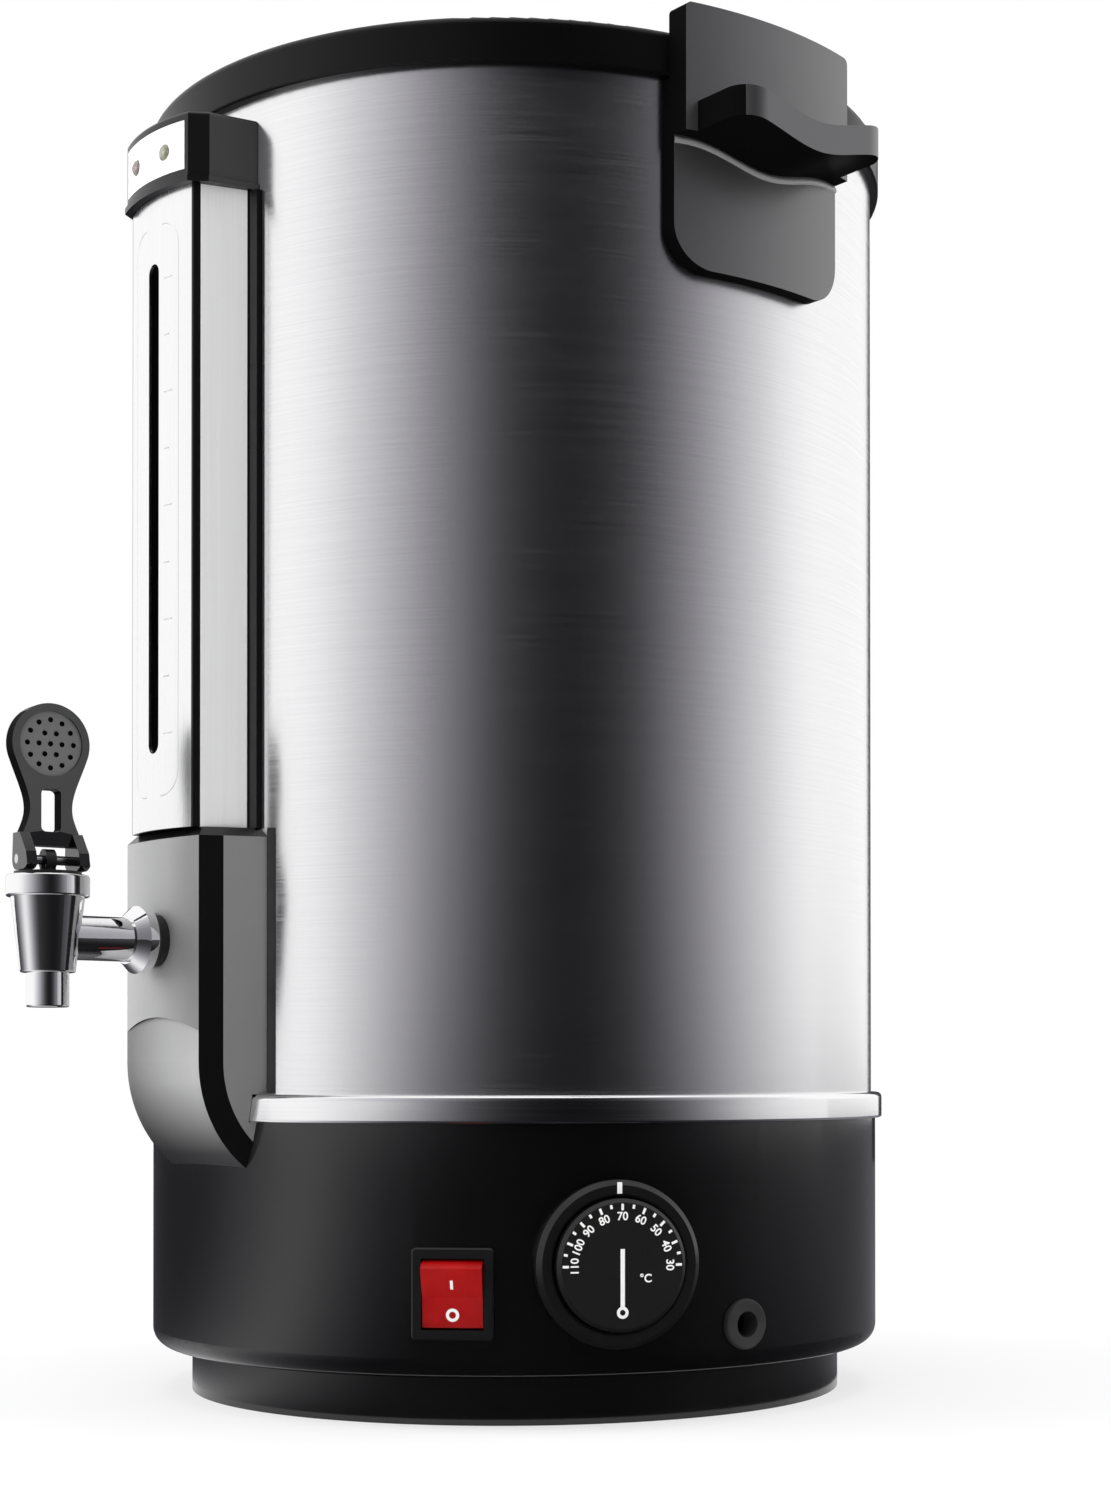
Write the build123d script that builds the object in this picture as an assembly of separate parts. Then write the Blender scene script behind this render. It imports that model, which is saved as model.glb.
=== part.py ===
"""Electric hot water urn with a sight gauge column and a lever tap.

Millimetres, +Z up.  The origin is the centre of the plinth's underside.  The gauge
column and the tap stand on the -Y side, and the two handles on +X and -X.
Distances called "out" are measured from the urn's axis towards -Y, and parts on the
side of the drum are drawn there and then turned about Z by an azimuth towards +X.
"""

import os
from math import asin, cos, degrees, radians, sin, sqrt

from build123d import *

# ---------------------------------------------------------------- driving sizes
# jacket, base drum and trim
shell_r = 128.5          # outer radius of the steel jacket
shell_h = 332.0
shell_wall = 0.8
shell_flange_w = 9.7     # inward flange at the jacket's foot
base_step = 1.5          # the base stands this much proud of the jacket
base_h = 80.0
base_wall = 3.0
base_edge_r = 6.5
base_flange_w = 26.0     # floor flange inside the base
plinth_h = 16.0
plinth_step = 13.7       # the plinth is set back by this much
plinth_wall = 3.5
cover_plate_t = 3.0
ring_h = 9.0
ring_proud = 3.8
ring_edge_r = 1.8        # rounded upper edge
ring_foot_r = 0.8
rim_h = 14.6
rim_proud = 3.0
rim_wall = 4.5
rim_edge_r = 3.0
rim_floor_t = 2.0
rim_spigot_h = 4.0
rim_spigot_t = 2.0

# tank
tank_gap = 11.0          # air gap between jacket and tank
tank_wall = 0.8
tank_rise = 20.0         # tank floor above the jacket's foot
tank_corner_r = 9.0
tank_flange_w = 9.0

# lid
lid_play = 0.8
lid_gasket_t = 2.5
lid_gasket_w = 6.0
lid_gasket_set = 1.5     # gasket's inner edge, out from the tank's wall
lid_h = 8.0
lid_width = 15.0         # width of the lid's moulded ring
lid_edge_r = 2.5
lid_skirt_t = 2.5
lid_skirt_h = 9.0
lid_skirt_play = 1.2
panel_t = 0.8
panel_seat_w = 7.0
panel_seat_drop = 2.5    # panel's seat below the top of the ring
panel_rise = 9.0
panel_flat_w = 3.0       # flat border inside the ring
panel_step_w = 8.0       # steep step inside that border
panel_step_part = 0.45   # how much of the rise the step makes
panel_crown_w = 10.0     # flat crown outside the knob's neck
knob_r = 20.0
knob_h = 24.0
knob_neck_r = 12.0
knob_foot_w = 3.0
knob_crown_r = 14.0
knob_screw_len = 9.0
vent_r = 6.0
vent_out = 62.0
vent_cap_t = 2.5
vent_spigot_r = 3.4
vent_bore_r = 1.5
vent_slit_w = 1.6

# handles
handle_half = 35.6
handle_h = 82.0
handle_over = 6.4        # handle's top above the rim
handle_shield_t = 5.4
handle_plate_t = 11.0
handle_corner_r = 14.0
ledge_half = 31.5
ledge_reach = 30.0       # how far the finger ledge stands out from the jacket
ledge_t = 9.5
ledge_end_r = 9.0
ledge_drop = 41.5        # underside of the ledge's ends below the handle's top
ledge_wave = 4.5         # the ledge dips this much in the middle
handle_screw_x = 17.5
handle_screw_rise = 6.0  # screws above the ledge's underside

# gauge column
col_half = 20.0
col_out = 17.0           # front corners of the column, out from the jacket
col_bulge = 3.2
col_flare = 5.0          # half width gained towards the jacket
col_rise = 95.0          # foot of the column above the jacket's foot
col_drop = 25.0          # top of the column below the jacket's top
plate_t = 1.0
plate_inset = 0.7        # front plate short of the column's corners
glue_t = 0.3             # glue line behind the front plate
side_t = 0.8
side_inset = 2.3         # black corner left bare beside the front plate
side_foot = 2.4          # black foot left bare beside the jacket
col_wall = 6.0           # side walls of the column's hollow
col_front_wall = 2.5
foot_w = 3.6             # thin foot that laps the jacket beside the column
foot_t = 1.8
slot_w = 6.5
slot_margin_low = 25.0   # slot's end above the column's foot
slot_margin_top = 22.0   # slot's end below the cap
slot_edge = 0.75         # the hole behind the slot is wider by this much
gauge_out = 7.9          # sight tube's axis, out from the jacket
tube_r = 5.0
tube_wall = 1.2
tube_rise = 14.0         # tube's foot above the tap's bore
seal_t = 1.2
seal_h = 5.5
seal_rise = 3.0          # lower seal above the tube's foot
socket_t = 1.2           # wall of the tee's socket round the seal
gauge_screw_x = 17.3
gauge_screw_end = 8.0    # screws beyond the slot's ends
gauge_screw_bite = 8.0

# gauge cap and lamps
cap_proud = 2.0
cap_lap = 5.0            # cap laps over the column's top
cap_h = 23.0
cap_chamfer = 3.8
cap_bevel = 5.7
cap_flare = 4.0
cap_lip_h = 2.0
cap_lip = 0.6
cap_edge = 1.4
cap_roof_t = 3.0
cap_wall = 4.0
cap_boss_r = 9.0
air_hole_r = 1.0         # lets the sight tube breathe
lamp_panel_t = 1.2
lamp_panel_inset = 1.5
lamp_panel_low = 4.4     # panel above the cap's foot
lamp_panel_top = 3.0     # panel below the cap's roof
lamp_r = 2.5
lamp_x = 9.0
lamp_rise = 7.4          # lamps above the panel's foot
lamp_len = 7.0
lamp_proud = 0.9

# tap housing
house_half = 23.5
house_out = 16.8
house_bulge = 2.2
house_chamfer_x = 3.5
house_chamfer_d = 7.0
house_flare = 6.0
house_belly_r = 45.0      # the front's foot rolls under over the base
house_belly_z = 115.5
house_wall = 3.0
house_top_chamfer = 3.0
house_step = 1.4         # front below the arch is this much flatter
arch_r = 62.0
arch_rise = 34.0         # crown of the belly's arched edge above the jacket's foot

# tap
tap_out = 57.5           # tap's own axis, out from the jacket
tap_rise = 59.0          # tap's bore above the jacket's foot
shank_r = 7.15
thread_r = 6.0
shank_bore_r = 3.5
shank_inside = 12.0      # how far the thread reaches into the tank
flange_r = 11.0
flange_t = 8.0
flange_rim_t = 4.5
flange_edge = 1.5
washer_r = 8.5
washer_t = 3.5
shank_seal_r = 10.0
shank_seal_t = 2.0
shell_seal_t = 2.5
spacer_r = 9.0
shank_nut_r = 10.5
shank_nut_t = 7.0
tee_hole_r = 2.0         # cross hole that lets water into the sight tube
nozzle_r = 6.65
nozzle_len = 10.9
nozzle_bore_r = 4.0
nozzle_drop = 22.3       # nozzle's end below the tap's bore
cone_low_r = 8.6
cone_top_r = 11.5
cone_rise = 12.5         # top of the cone above the tap's bore
tap_thread_r = 11.3
tap_thread_h = 4.0
chamber_r = 8.0
chamber_drop = 4.5       # chamber's floor below the tap's bore
seat_h = 1.0
seat_w = 1.2
collar_r = 13.0
collar_over = 3.0        # collar's top above the tap's mouth
collar_lip_t = 1.3
bush_over = 1.0          # bush's top above the collar
bush_neck_r = 10.5
bush_spigot_h = 3.6
bush_flange_t = 1.5
stem_r = 2.5
stem_shoulder_r = 5.0
stem_shoulder_t = 1.2
stem_head_t = 3.4
stem_head_r = 3.5
stem_bite = 4.5          # how far the stem sits in its plug
plug_r = 6.5
plug_h = 6.5
plug_bevel = 0.8
spring_wire_r = 0.5
spring_r = 4.0
spring_turns = 4.0

# lever
lever_azimuth = 85.0     # way the lever's broad face looks in the rest pose
lever_h = 49.4           # pin to the top of the thumb pad
lever_t = 5.6
lever_half = 10.4
ear_t = 3.4
pad_r = 12.75
neck_half = 7.1
neck_rise = 14.3         # narrowest place above the pin
shoulder_rise = 5.3
ear_rise = 8.3           # ears run this far up into the blade
toe_w = 1.0
toe_h = 4.0
neck_lean = 0.36         # slope of the blade's edges above and below the neck
pad_join = 22.0          # degrees below level where the edges run into the pad
lever_slot_w = 6.5
lever_slot_h = 13.5
lever_slot_rise = 8.8    # slot's foot above the pin
lever_slot_corner_r = 1.6
pad_dish_r = 10.3
pad_dish_t = 0.7
dimple_r = 0.85
dimple_t = 0.5
dimple_pitch = 3.8
pin_r = 1.5
pin_rise = 3.7           # pin above the bush
stem_lift = 4.0
lever_swing = 40.0       # degrees, closed to fully open
cam_gap = 0.2
fork_gap = 0.8           # room between the fork's bridge and the stem's eye

# dial and thermostat
dial_azimuth = 66.5
dial_rise = 36.0         # dial's centre above the base's floor
dial_pad_proud = 1.2
dial_pad_t = 6.0
bezel_r = 26.5
bezel_w = 5.2
bezel_h = 4.0
bezel_edge = 1.6
bezel_inner_edge = 0.8
dial_gap = 0.5           # ring gap between the dial and its bezel
dial_h = 7.3             # dial's face in front of the pad
dial_edge = 1.2
dial_cap_t = 1.5         # face left in front of the spindle
dial_recess_r = 10.0
dial_recess_t = 3.4
spindle_r = 3.0
spindle_inside = 14.0
thermostat_w = 36.0
thermostat_h = 30.0
thermostat_d = 21.0
bushing_r = 5.0
nut_r = 8.0
nut_t = 2.4
tab_w = 6.3              # push-on terminals
tab_t = 0.8
tab_len = 8.0
bulb_r = 3.0
bulb_len = 60.0
bulb_gap = 5.0           # bulb outside the heater plate
bulb_lead = 15.0
capillary_r = 1.0
capillary_bend_r = 7.0
capillary_sweep = 26.0   # how far the capillary swings out on its way down

# rocker switch
switch_azimuth = 44.0
switch_rise = 26.9       # switch's centre above the base's floor
switch_w = 26.0
switch_h = 29.0
switch_corner_r = 1.5
switch_edge = 0.5
switch_flange_t = 2.2
switch_flange_w = 2.2
switch_depth = 23.0
well_wall_x = 0.9        # plastic left beside the rocker
well_wall_z = 1.15
well_depth = 14.0
rocker_r = 11.0
rocker_out = 5.5
rocker_valley = 4.3
rocker_back = 1.0
rocker_tilt = 12.0       # each way from the middle
trunnion_r = 1.2
trunnion_len = 0.7
pivot_back = 4.55        # pivot behind the bezel's front

# cord gland and terminals
gland_azimuth = 87.0
gland_rise = 15.0        # gland's centre above the base's floor
gland_flange_r = 8.2
gland_sleeve_r = 6.5
gland_bore_r = 4.2
gland_flange_t = 2.0
gland_edge_r = 0.9
terminal_azimuth = 106.0
terminal_w = 28.0
terminal_d = 15.0
terminal_h = 13.0
terminal_set = 6.0       # terminal block inside the drum's wall
terminal_screw_r = 2.4
terminal_wire_r = 1.8

# heater
plate_r = 62.0
heater_plate_t = 4.0
element_set = 16.0       # ring's centre line inside the plate's edge
element_r = 4.2
element_gap = 30.0       # degrees left open between the ring's cold ends
element_leg = 9.0
element_pin_r = 1.5
element_pin_len = 6.0
cutout_r = 8.0
cutout_h = 6.0
strap_len = 34.0
strap_foot = 7.0
strap_w = 8.0
strap_t = 1.2
strap_screw_r = 2.6
shield_set = 18.7        # shield's edge inside the tank's wall
shield_t = 0.8
shield_lip_h = 4.0
shield_drop = 24.4
standoff_r = 3.5
standoff_set = 14.0      # studs inside the shield's edge

# fasteners and feet
screw_r = 2.0
screw_head_r = 3.4
screw_head_t = 2.3
blind = 3.0              # material left beyond a blind screw hole
boss_r = 5.0
boss_h = 20.0
cover_boss_h = 13.0
base_screw_len = 14.0
cover_screw_len = 12.0
shield_screw_len = 8.0
foot_r = 10.0
foot_taper = 1.0
foot_hollow_r = 6.0
foot_hollow_h = 3.0
foot_stem_r = 3.5
foot_barb_r = 4.6
foot_barb_h = 3.0
foot_set = 20.8          # feet inside the plinth's wall
vent_w = 4.0
vent_len = 34.0
vent_count = 7
vent_pitch = 11.0

# clearances
slip = 0.1               # slip fit between fixed pieces
running = 0.05           # radial play of a turning or sliding fit
clear = 0.3              # free gap beside a moving piece
over = 1.0               # how far a cut runs past the face it opens
behind_jacket = 8.0      # covers are drawn this far into the jacket, which then trims them

# ------------------------------------------------------------- worked-out places
base_r = shell_r + base_step
base_in_r = base_r - base_wall
base_floor_z = plinth_h
cover_under_z = plinth_h - cover_plate_t
foot_z = plinth_h + base_h               # foot of the jacket
shell_top_z = foot_z + shell_h
shell_in_r = shell_r - shell_wall
ring_r = shell_r + ring_proud
plinth_r = base_r - plinth_step
plinth_in_r = plinth_r - plinth_wall
foot_out = plinth_in_r - foot_set
rim_r = shell_r + rim_proud
rim_in_r = rim_r - rim_wall
rim_top_z = shell_top_z + rim_h
rim_seat_z = shell_top_z + rim_floor_t
tank_r = shell_in_r - tank_gap
tank_in_r = tank_r - tank_wall
tank_floor_z = foot_z + tank_rise
tank_under_z = tank_floor_z - tank_wall
tank_flange_top_z = rim_seat_z + tank_wall
lid_r = rim_in_r - lid_play
lid_in_r = lid_r - lid_width
lid_bottom_z = tank_flange_top_z + lid_gasket_t
lid_top_z = lid_bottom_z + lid_h
panel_seat_z = lid_top_z - panel_seat_drop
panel_r = lid_in_r + panel_seat_w
panel_under_z = panel_seat_z + panel_rise
panel_top_z = panel_under_z + panel_t
handle_top_z = rim_top_z + handle_over
handle_bottom_z = handle_top_z - handle_h
ledge_under_z = handle_top_z - ledge_drop
handle_screw_z = ledge_under_z + handle_screw_rise
col_bottom_z = foot_z + col_rise
col_top_z = shell_top_z - col_drop
col_front_d = shell_r + col_out
cap_bottom_z = col_top_z - cap_lap
cap_top_z = cap_bottom_z + cap_h
slot_bottom_z = col_bottom_z + slot_margin_low
slot_top_z = cap_bottom_z - slot_margin_top
gauge_screw_zs = [slot_bottom_z - gauge_screw_end, slot_top_z + gauge_screw_end]
gauge_d = shell_r + gauge_out
seal_r = tube_r + seal_t
socket_r = seal_r + socket_t
lamp_panel_bottom_z = cap_bottom_z + lamp_panel_low
lamp_panel_top_z = cap_top_z - lamp_panel_top
lamp_z = lamp_panel_bottom_z + lamp_rise
house_bottom_z = house_belly_z - house_belly_r
house_front_d = shell_r + house_out
tap_d = shell_r + tap_out
tap_z = foot_z + tap_rise
tap_face_d = house_front_d + house_bulge - clear   # spot face for the tap's washer
house_inner_d = tap_face_d - house_wall
flange_back_d = tap_face_d + washer_t
shank_end_d = tank_in_r - shank_inside
tank_wall_out_d = sqrt(tank_r**2 - shank_seal_r**2)
tank_wall_in_d = sqrt(tank_in_r**2 - shank_seal_r**2)
tank_seal_d = tank_wall_in_d - shank_seal_t
tap_bottom_z = tap_z - nozzle_drop
cone_top_z = tap_z + cone_rise
tap_top_z = cone_top_z + tap_thread_h
chamber_floor_z = tap_z - chamber_drop
seat_z = chamber_floor_z + seat_h
collar_top_z = tap_top_z + collar_over
bush_flange_top_z = collar_top_z - collar_lip_t - slip
bush_flange_low_z = bush_flange_top_z - bush_flange_t
spring_top_z = bush_flange_low_z - bush_spigot_h
shoulder_top_z = seat_z + plug_h + stem_shoulder_t
bush_top_z = collar_top_z + bush_over
pin_z = bush_top_z + pin_rise
neck_z = pin_z + neck_rise
shoulder_z = pin_z + shoulder_rise
pad_z = pin_z + lever_h - pad_r
cam_rate = stem_lift / radians(lever_swing)
lever_base = pin_rise - cam_gap
tube_bottom_z = tap_z + tube_rise
lower_seal_z = tube_bottom_z + seal_rise
upper_seal_z = col_top_z + clear
tube_top_z = upper_seal_z + seal_h + seal_rise
dial_z = base_floor_z + dial_rise
dial_pad_out = base_r + dial_pad_proud
dial_rear_d = dial_pad_out - dial_pad_t
dial_front_out = dial_pad_out + dial_h
bezel_in_r = bezel_r - bezel_w
dial_r = bezel_in_r - dial_gap
switch_z = base_floor_z + switch_rise
switch_seat_d = sqrt(base_r**2 - (switch_w / 2) ** 2)
switch_front_d = switch_seat_d + switch_flange_t
switch_body_w = switch_w - 2 * switch_flange_w
switch_body_h = switch_h - 2 * switch_flange_w
well_half_w = switch_body_w / 2 - well_wall_x
well_half_h = switch_body_h / 2 - well_wall_z
rocker_half_w = well_half_w - clear
rocker_pivot_d = switch_front_d - pivot_back
gland_z = base_floor_z + gland_rise
gland_seat_d = sqrt(base_r**2 - gland_flange_r**2)
gland_inner_d = sqrt(base_in_r**2 - gland_flange_r**2)
heater_under_z = tank_under_z - heater_plate_t
element_ring_r = plate_r - element_set
bulb_out = plate_r + bulb_gap + bulb_r
shield_r = tank_r - shield_set
standoff_out = shield_r - standoff_set
shield_top_z = tank_under_z - shield_drop
shell_screw_z = foot_z + shell_wall
boss_out = base_in_r - boss_r + 1.0      # the boss runs a little into the drum's wall
cover_boss_out = plinth_in_r - boss_r - 2 * clear
base_screw_azimuths = [22 + 90 * i for i in range(4)]
cover_screw_azimuths = [30 + 90 * i for i in range(4)]
foot_azimuths = [45 + 90 * i for i in range(4)]
standoff_azimuths = [dial_azimuth + 60 + 120 * i for i in range(3)]


# -------------------------------------------------------------------- helpers
def disc(radius, z0, z1, x=0.0, y=0.0):
    return Pos(x, y, (z0 + z1) / 2) * Cylinder(radius, z1 - z0)


def rod_out(radius, d0, d1, z, x=0.0):
    """Round bar pointing out at the front, between two distances from the axis."""
    return Pos(x, -(d0 + d1) / 2, z) * Rot(90, 0, 0) * Cylinder(radius, d1 - d0)


def rod_across(radius, x0, x1, d, z):
    """Round bar along X."""
    return Pos((x0 + x1) / 2, -d, z) * Rot(0, 90, 0) * Cylinder(radius, x1 - x0)


def block(x0, x1, d0, d1, z0, z1):
    size = Box(x1 - x0, d1 - d0, z1 - z0)
    return Pos((x0 + x1) / 2, -(d0 + d1) / 2, (z0 + z1) / 2) * size


def outline(points, radii=None):
    """Closed outline through points, with a corner radius for each where given."""
    if radii is None:
        return make_face(Polyline(*points, close=True))
    return make_face(FilletPolyline(*points, radius=radii, close=True))


def turned(points, radii=None):
    """Solid of revolution about Z from (radius, z) points."""
    return revolve(Plane.XZ * outline(points, radii), Axis.Z)


def turned_out(points, z):
    """Solid of revolution about a line that points out at the front, from
    (radius, distance from the urn's axis) points."""
    return Pos(0, 0, z) * Rot(90, 0, 0) * turned(points)


def prism_up(face, z0, z1):
    return extrude(Plane.XY.offset(z0) * face, z1 - z0)


def prism_out(face, d0, d1):
    """Face drawn in (x, z), pushed out at the front."""
    return extrude(Plane.XZ.offset(d0) * face, d1 - d0)


def prism_across(face, x0, x1):
    """Face drawn in (y, z), pushed along X."""
    return extrude(Plane.YZ.offset(x0) * face, x1 - x0)


def around(part, azimuth):
    return Rot(0, 0, azimuth) * part


def spread(azimuths, part):
    """Copies of one piece about the urn's axis."""
    return [around(part, azimuth) for azimuth in azimuths]


# ---------------------------------------------------------------- base and plinth
def dial_pad():
    return rod_out(bezel_r, dial_rear_d, dial_pad_out, dial_z)


def switch_cutout():
    """Hole for the switch's body, with a flat seat spot-faced round it."""
    hole = Pos(0, switch_z) * Rectangle(switch_body_w + 2 * slip, switch_body_h + 2 * slip)
    seat_corner_r = switch_corner_r + slip
    seat = Pos(0, switch_z) * RectangleRounded(switch_w + 2 * slip, switch_h + 2 * slip, seat_corner_r)
    inside_d = switch_seat_d - base_wall - over
    return prism_out(hole, inside_d, base_r + over) + prism_out(seat, switch_seat_d, base_r + over)


def make_base_housing():
    top_z, low_z = foot_z, base_floor_z
    low_boss_z = low_z + cover_boss_h
    body = turned(
        [
            (base_r - base_flange_w, low_z),
            (base_r, low_z),
            (base_r, top_z),
            (base_in_r, top_z),
            (base_in_r, low_z + base_wall),
            (base_r - base_flange_w, low_z + base_wall),
        ],
        [0, base_edge_r, 0, 0, base_edge_r - base_wall, 0],
    )
    body += around(dial_pad(), dial_azimuth)
    body += spread(base_screw_azimuths, disc(boss_r, top_z - boss_h, top_z, 0, -boss_out))
    body += spread(cover_screw_azimuths, disc(boss_r, low_z, low_boss_z, 0, -cover_boss_out))
    body -= spread(base_screw_azimuths, disc(screw_r, top_z - boss_h + blind, top_z, 0, -boss_out))
    body -= spread(
        cover_screw_azimuths, disc(screw_r, low_z, low_boss_z - blind, 0, -cover_boss_out)
    )
    dial_hole = rod_out(bushing_r + slip, dial_rear_d - over, dial_pad_out + over, dial_z)
    gland_hole = rod_out(gland_sleeve_r, gland_inner_d - over, base_r + over, gland_z)
    gland_seat = rod_out(gland_flange_r + slip, gland_seat_d, base_r + over, gland_z)
    body -= around(dial_hole, dial_azimuth)
    body -= around(switch_cutout(), switch_azimuth)
    body -= around(gland_hole + gland_seat, gland_azimuth)
    return body


def make_bottom_cover():
    """Plinth and floor in one: a ring wall that stands on the table, closed by a plate."""
    under_z = cover_under_z
    cover = turned(
        [
            (0, under_z),
            (plinth_in_r, under_z),
            (plinth_in_r, 0),
            (plinth_r, 0),
            (plinth_r, plinth_h),
            (0, plinth_h),
        ]
    )
    for i in range(vent_count):
        x = (i - (vent_count - 1) / 2) * vent_pitch
        slot = Pos(x, 0) * SlotOverall(vent_len, vent_w, rotation=90)
        cover -= prism_up(slot, under_z, plinth_h)
    cover -= spread(
        cover_screw_azimuths, disc(screw_r + slip, under_z, plinth_h, 0, -cover_boss_out)
    )
    cover -= spread(foot_azimuths, disc(foot_stem_r, under_z, plinth_h, 0, -foot_out))
    return cover


def make_rubber_foot():
    """Push-in foot: its barb snaps through the cover plate."""
    foot = turned(
        [
            (0, foot_hollow_h),
            (foot_hollow_r, foot_hollow_h),
            (foot_hollow_r, 0),
            (foot_r - foot_taper, 0),
            (foot_r, cover_under_z),
            (foot_stem_r, cover_under_z),
            (foot_stem_r, plinth_h),
            (foot_barb_r, plinth_h),
            (foot_stem_r - foot_taper / 2, plinth_h + foot_barb_h),
            (0, plinth_h + foot_barb_h),
        ]
    )
    return Pos(0, -foot_out, 0) * foot


def screw_up(head_z, length, out):
    """Screw with its head below, driven upwards."""
    shank = disc(screw_r, head_z, head_z + length)
    head = disc(screw_head_r, head_z - screw_head_t, head_z)
    return Pos(0, -out, 0) * (shank + head)


def screw_down(head_z, length, out):
    shank = disc(screw_r, head_z - length, head_z)
    head = disc(screw_head_r, head_z, head_z + screw_head_t)
    return Pos(0, -out, 0) * (shank + head)


def screw_outward(head_d, length, x, z):
    """Screw with its head inside the jacket, driven outwards."""
    return rod_out(screw_r, head_d, head_d + length, z, x) + rod_out(
        screw_head_r, head_d - screw_head_t, head_d, z, x
    )


# ------------------------------------------------------------------ jacket, tank
def head_seat_d(x):
    """Where a flat screw head meets the inside of the round jacket."""
    return sqrt(shell_in_r**2 - (abs(x) + screw_head_r) ** 2)


def screw_holes_through_shell():
    holes = []
    for azimuth in (90, -90):
        for x in (-handle_screw_x, handle_screw_x):
            hole = rod_out(screw_r + slip, head_seat_d(x), shell_r + over, handle_screw_z, x)
            holes.append(around(hole, azimuth))
    for x in (-gauge_screw_x, gauge_screw_x):
        for z in gauge_screw_zs:
            holes.append(rod_out(screw_r + slip, head_seat_d(x), shell_r + over, z, x))
    return holes


def make_outer_shell():
    shell = turned(
        [
            (shell_r, foot_z),
            (shell_r, shell_top_z),
            (shell_in_r, shell_top_z),
            (shell_in_r, foot_z + shell_wall),
            (shell_r - shell_flange_w, foot_z + shell_wall),
            (shell_r - shell_flange_w, foot_z),
        ]
    )
    shell -= rod_out(thread_r + slip, shell_in_r - over, shell_r + over, tap_z)
    shell -= screw_holes_through_shell()
    shell -= spread(base_screw_azimuths, disc(screw_r + slip, foot_z, shell_screw_z, 0, -boss_out))
    return shell


def make_trim_ring():
    top_z = foot_z + ring_h
    inner = shell_r + slip
    return turned(
        [
            (inner, foot_z),
            (ring_r, foot_z),
            (ring_r, top_z),
            (inner, top_z),
        ],
        [0, ring_foot_r, ring_edge_r, 0],
    )


def make_inner_tank():
    flange_r_out = tank_r + tank_flange_w
    outer = turned(
        [
            (0, tank_under_z),
            (tank_r, tank_under_z),
            (tank_r, rim_seat_z),
            (flange_r_out, rim_seat_z),
            (flange_r_out, tank_flange_top_z),
            (0, tank_flange_top_z),
        ],
        [0, tank_corner_r, 0, 0, 0, 0],
    )
    hollow = turned(
        [
            (0, tank_floor_z),
            (tank_in_r, tank_floor_z),
            (tank_in_r, tank_flange_top_z),
            (0, tank_flange_top_z),
        ],
        [0, tank_corner_r - tank_wall, 0, 0],
    )
    return outer - hollow - rod_out(thread_r + slip, tank_wall_in_d - over, tank_r + over, tap_z)


def make_rim_ring():
    """Moulded rim: its spigot sits inside the jacket and its floor carries the tank."""
    spigot_r = shell_in_r - slip
    return turned(
        [
            (tank_r + slip, shell_top_z),
            (spigot_r - rim_spigot_t, shell_top_z),
            (spigot_r - rim_spigot_t, shell_top_z - rim_spigot_h),
            (spigot_r, shell_top_z - rim_spigot_h),
            (spigot_r, shell_top_z),
            (rim_r, shell_top_z),
            (rim_r, rim_top_z),
            (rim_in_r, rim_top_z),
            (rim_in_r, rim_seat_z),
            (tank_r + slip, rim_seat_z),
        ],
        [0, 0, 0, 0, 0, 0.8, rim_edge_r, 1.0, 0, 0],
    )


# ------------------------------------------------------------------------- lid
def make_lid_gasket():
    inner = tank_r + lid_gasket_set
    return disc(inner + lid_gasket_w, tank_flange_top_z, lid_bottom_z) - disc(
        inner, tank_flange_top_z, lid_bottom_z
    )


def make_lid_frame():
    skirt_r = tank_in_r - lid_skirt_play
    return turned(
        [
            (skirt_r - lid_skirt_t, lid_bottom_z - lid_skirt_h),
            (skirt_r, lid_bottom_z - lid_skirt_h),
            (skirt_r, lid_bottom_z),
            (lid_r, lid_bottom_z),
            (lid_r, lid_top_z),
            (panel_r + slip, lid_top_z),
            (panel_r + slip, panel_seat_z),
            (lid_in_r, panel_seat_z),
            (lid_in_r, lid_bottom_z + lid_h / 2),
            (skirt_r - lid_skirt_t, lid_bottom_z + lid_h / 2),
        ],
        [0.8, 0.8, 0, 0, lid_edge_r, 0.6, 0, 0, 0, 0],
    )


def panel_profile(z_shift):
    """Half section of the pressed dome, as a smooth line."""
    flat_r = lid_in_r - panel_flat_w
    return [
        (panel_r, panel_seat_z + z_shift),
        (flat_r, panel_seat_z + z_shift),
        (flat_r - panel_step_w, panel_seat_z + panel_rise * panel_step_part + z_shift),
        (knob_neck_r + panel_crown_w, panel_under_z + z_shift),
        (0, panel_under_z + z_shift),
    ]


def panel_height(out):
    """Height of the dome's sloping top at a distance from the axis."""
    edge_r = lid_in_r - panel_flat_w - panel_step_w
    crown_r = knob_neck_r + panel_crown_w
    climbed = (edge_r - out) / (edge_r - crown_r)
    return panel_top_z - panel_rise * (1 - panel_step_part) * (1 - climbed)


def make_lid_panel():
    low, high = panel_profile(0), panel_profile(panel_t)
    bends = [0, 4.0, 10.0, 20.0, 0]
    panel = turned(low + high[::-1], bends + bends[::-1])
    panel -= disc(screw_r + slip, panel_seat_z, panel_top_z + over)
    panel -= disc(vent_spigot_r + slip, panel_seat_z, panel_top_z + over, 0, vent_out)
    return panel


def make_lid_knob():
    knob = turned(
        [
            (0, panel_top_z),
            (knob_neck_r + knob_foot_w, panel_top_z),
            (knob_neck_r, panel_top_z + 5.0),
            (knob_neck_r, panel_top_z + knob_h * 0.45),
            (knob_r, panel_top_z + knob_h * 0.6),
            (knob_r, panel_top_z + knob_h * 0.85),
            (knob_crown_r, panel_top_z + knob_h),
            (0, panel_top_z + knob_h),
        ],
        [0, 1.0, 3.0, 3.0, 2.5, 3.0, 6.0, 0],
    )
    return knob - disc(screw_r, panel_top_z, panel_under_z + knob_screw_len + over)


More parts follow.
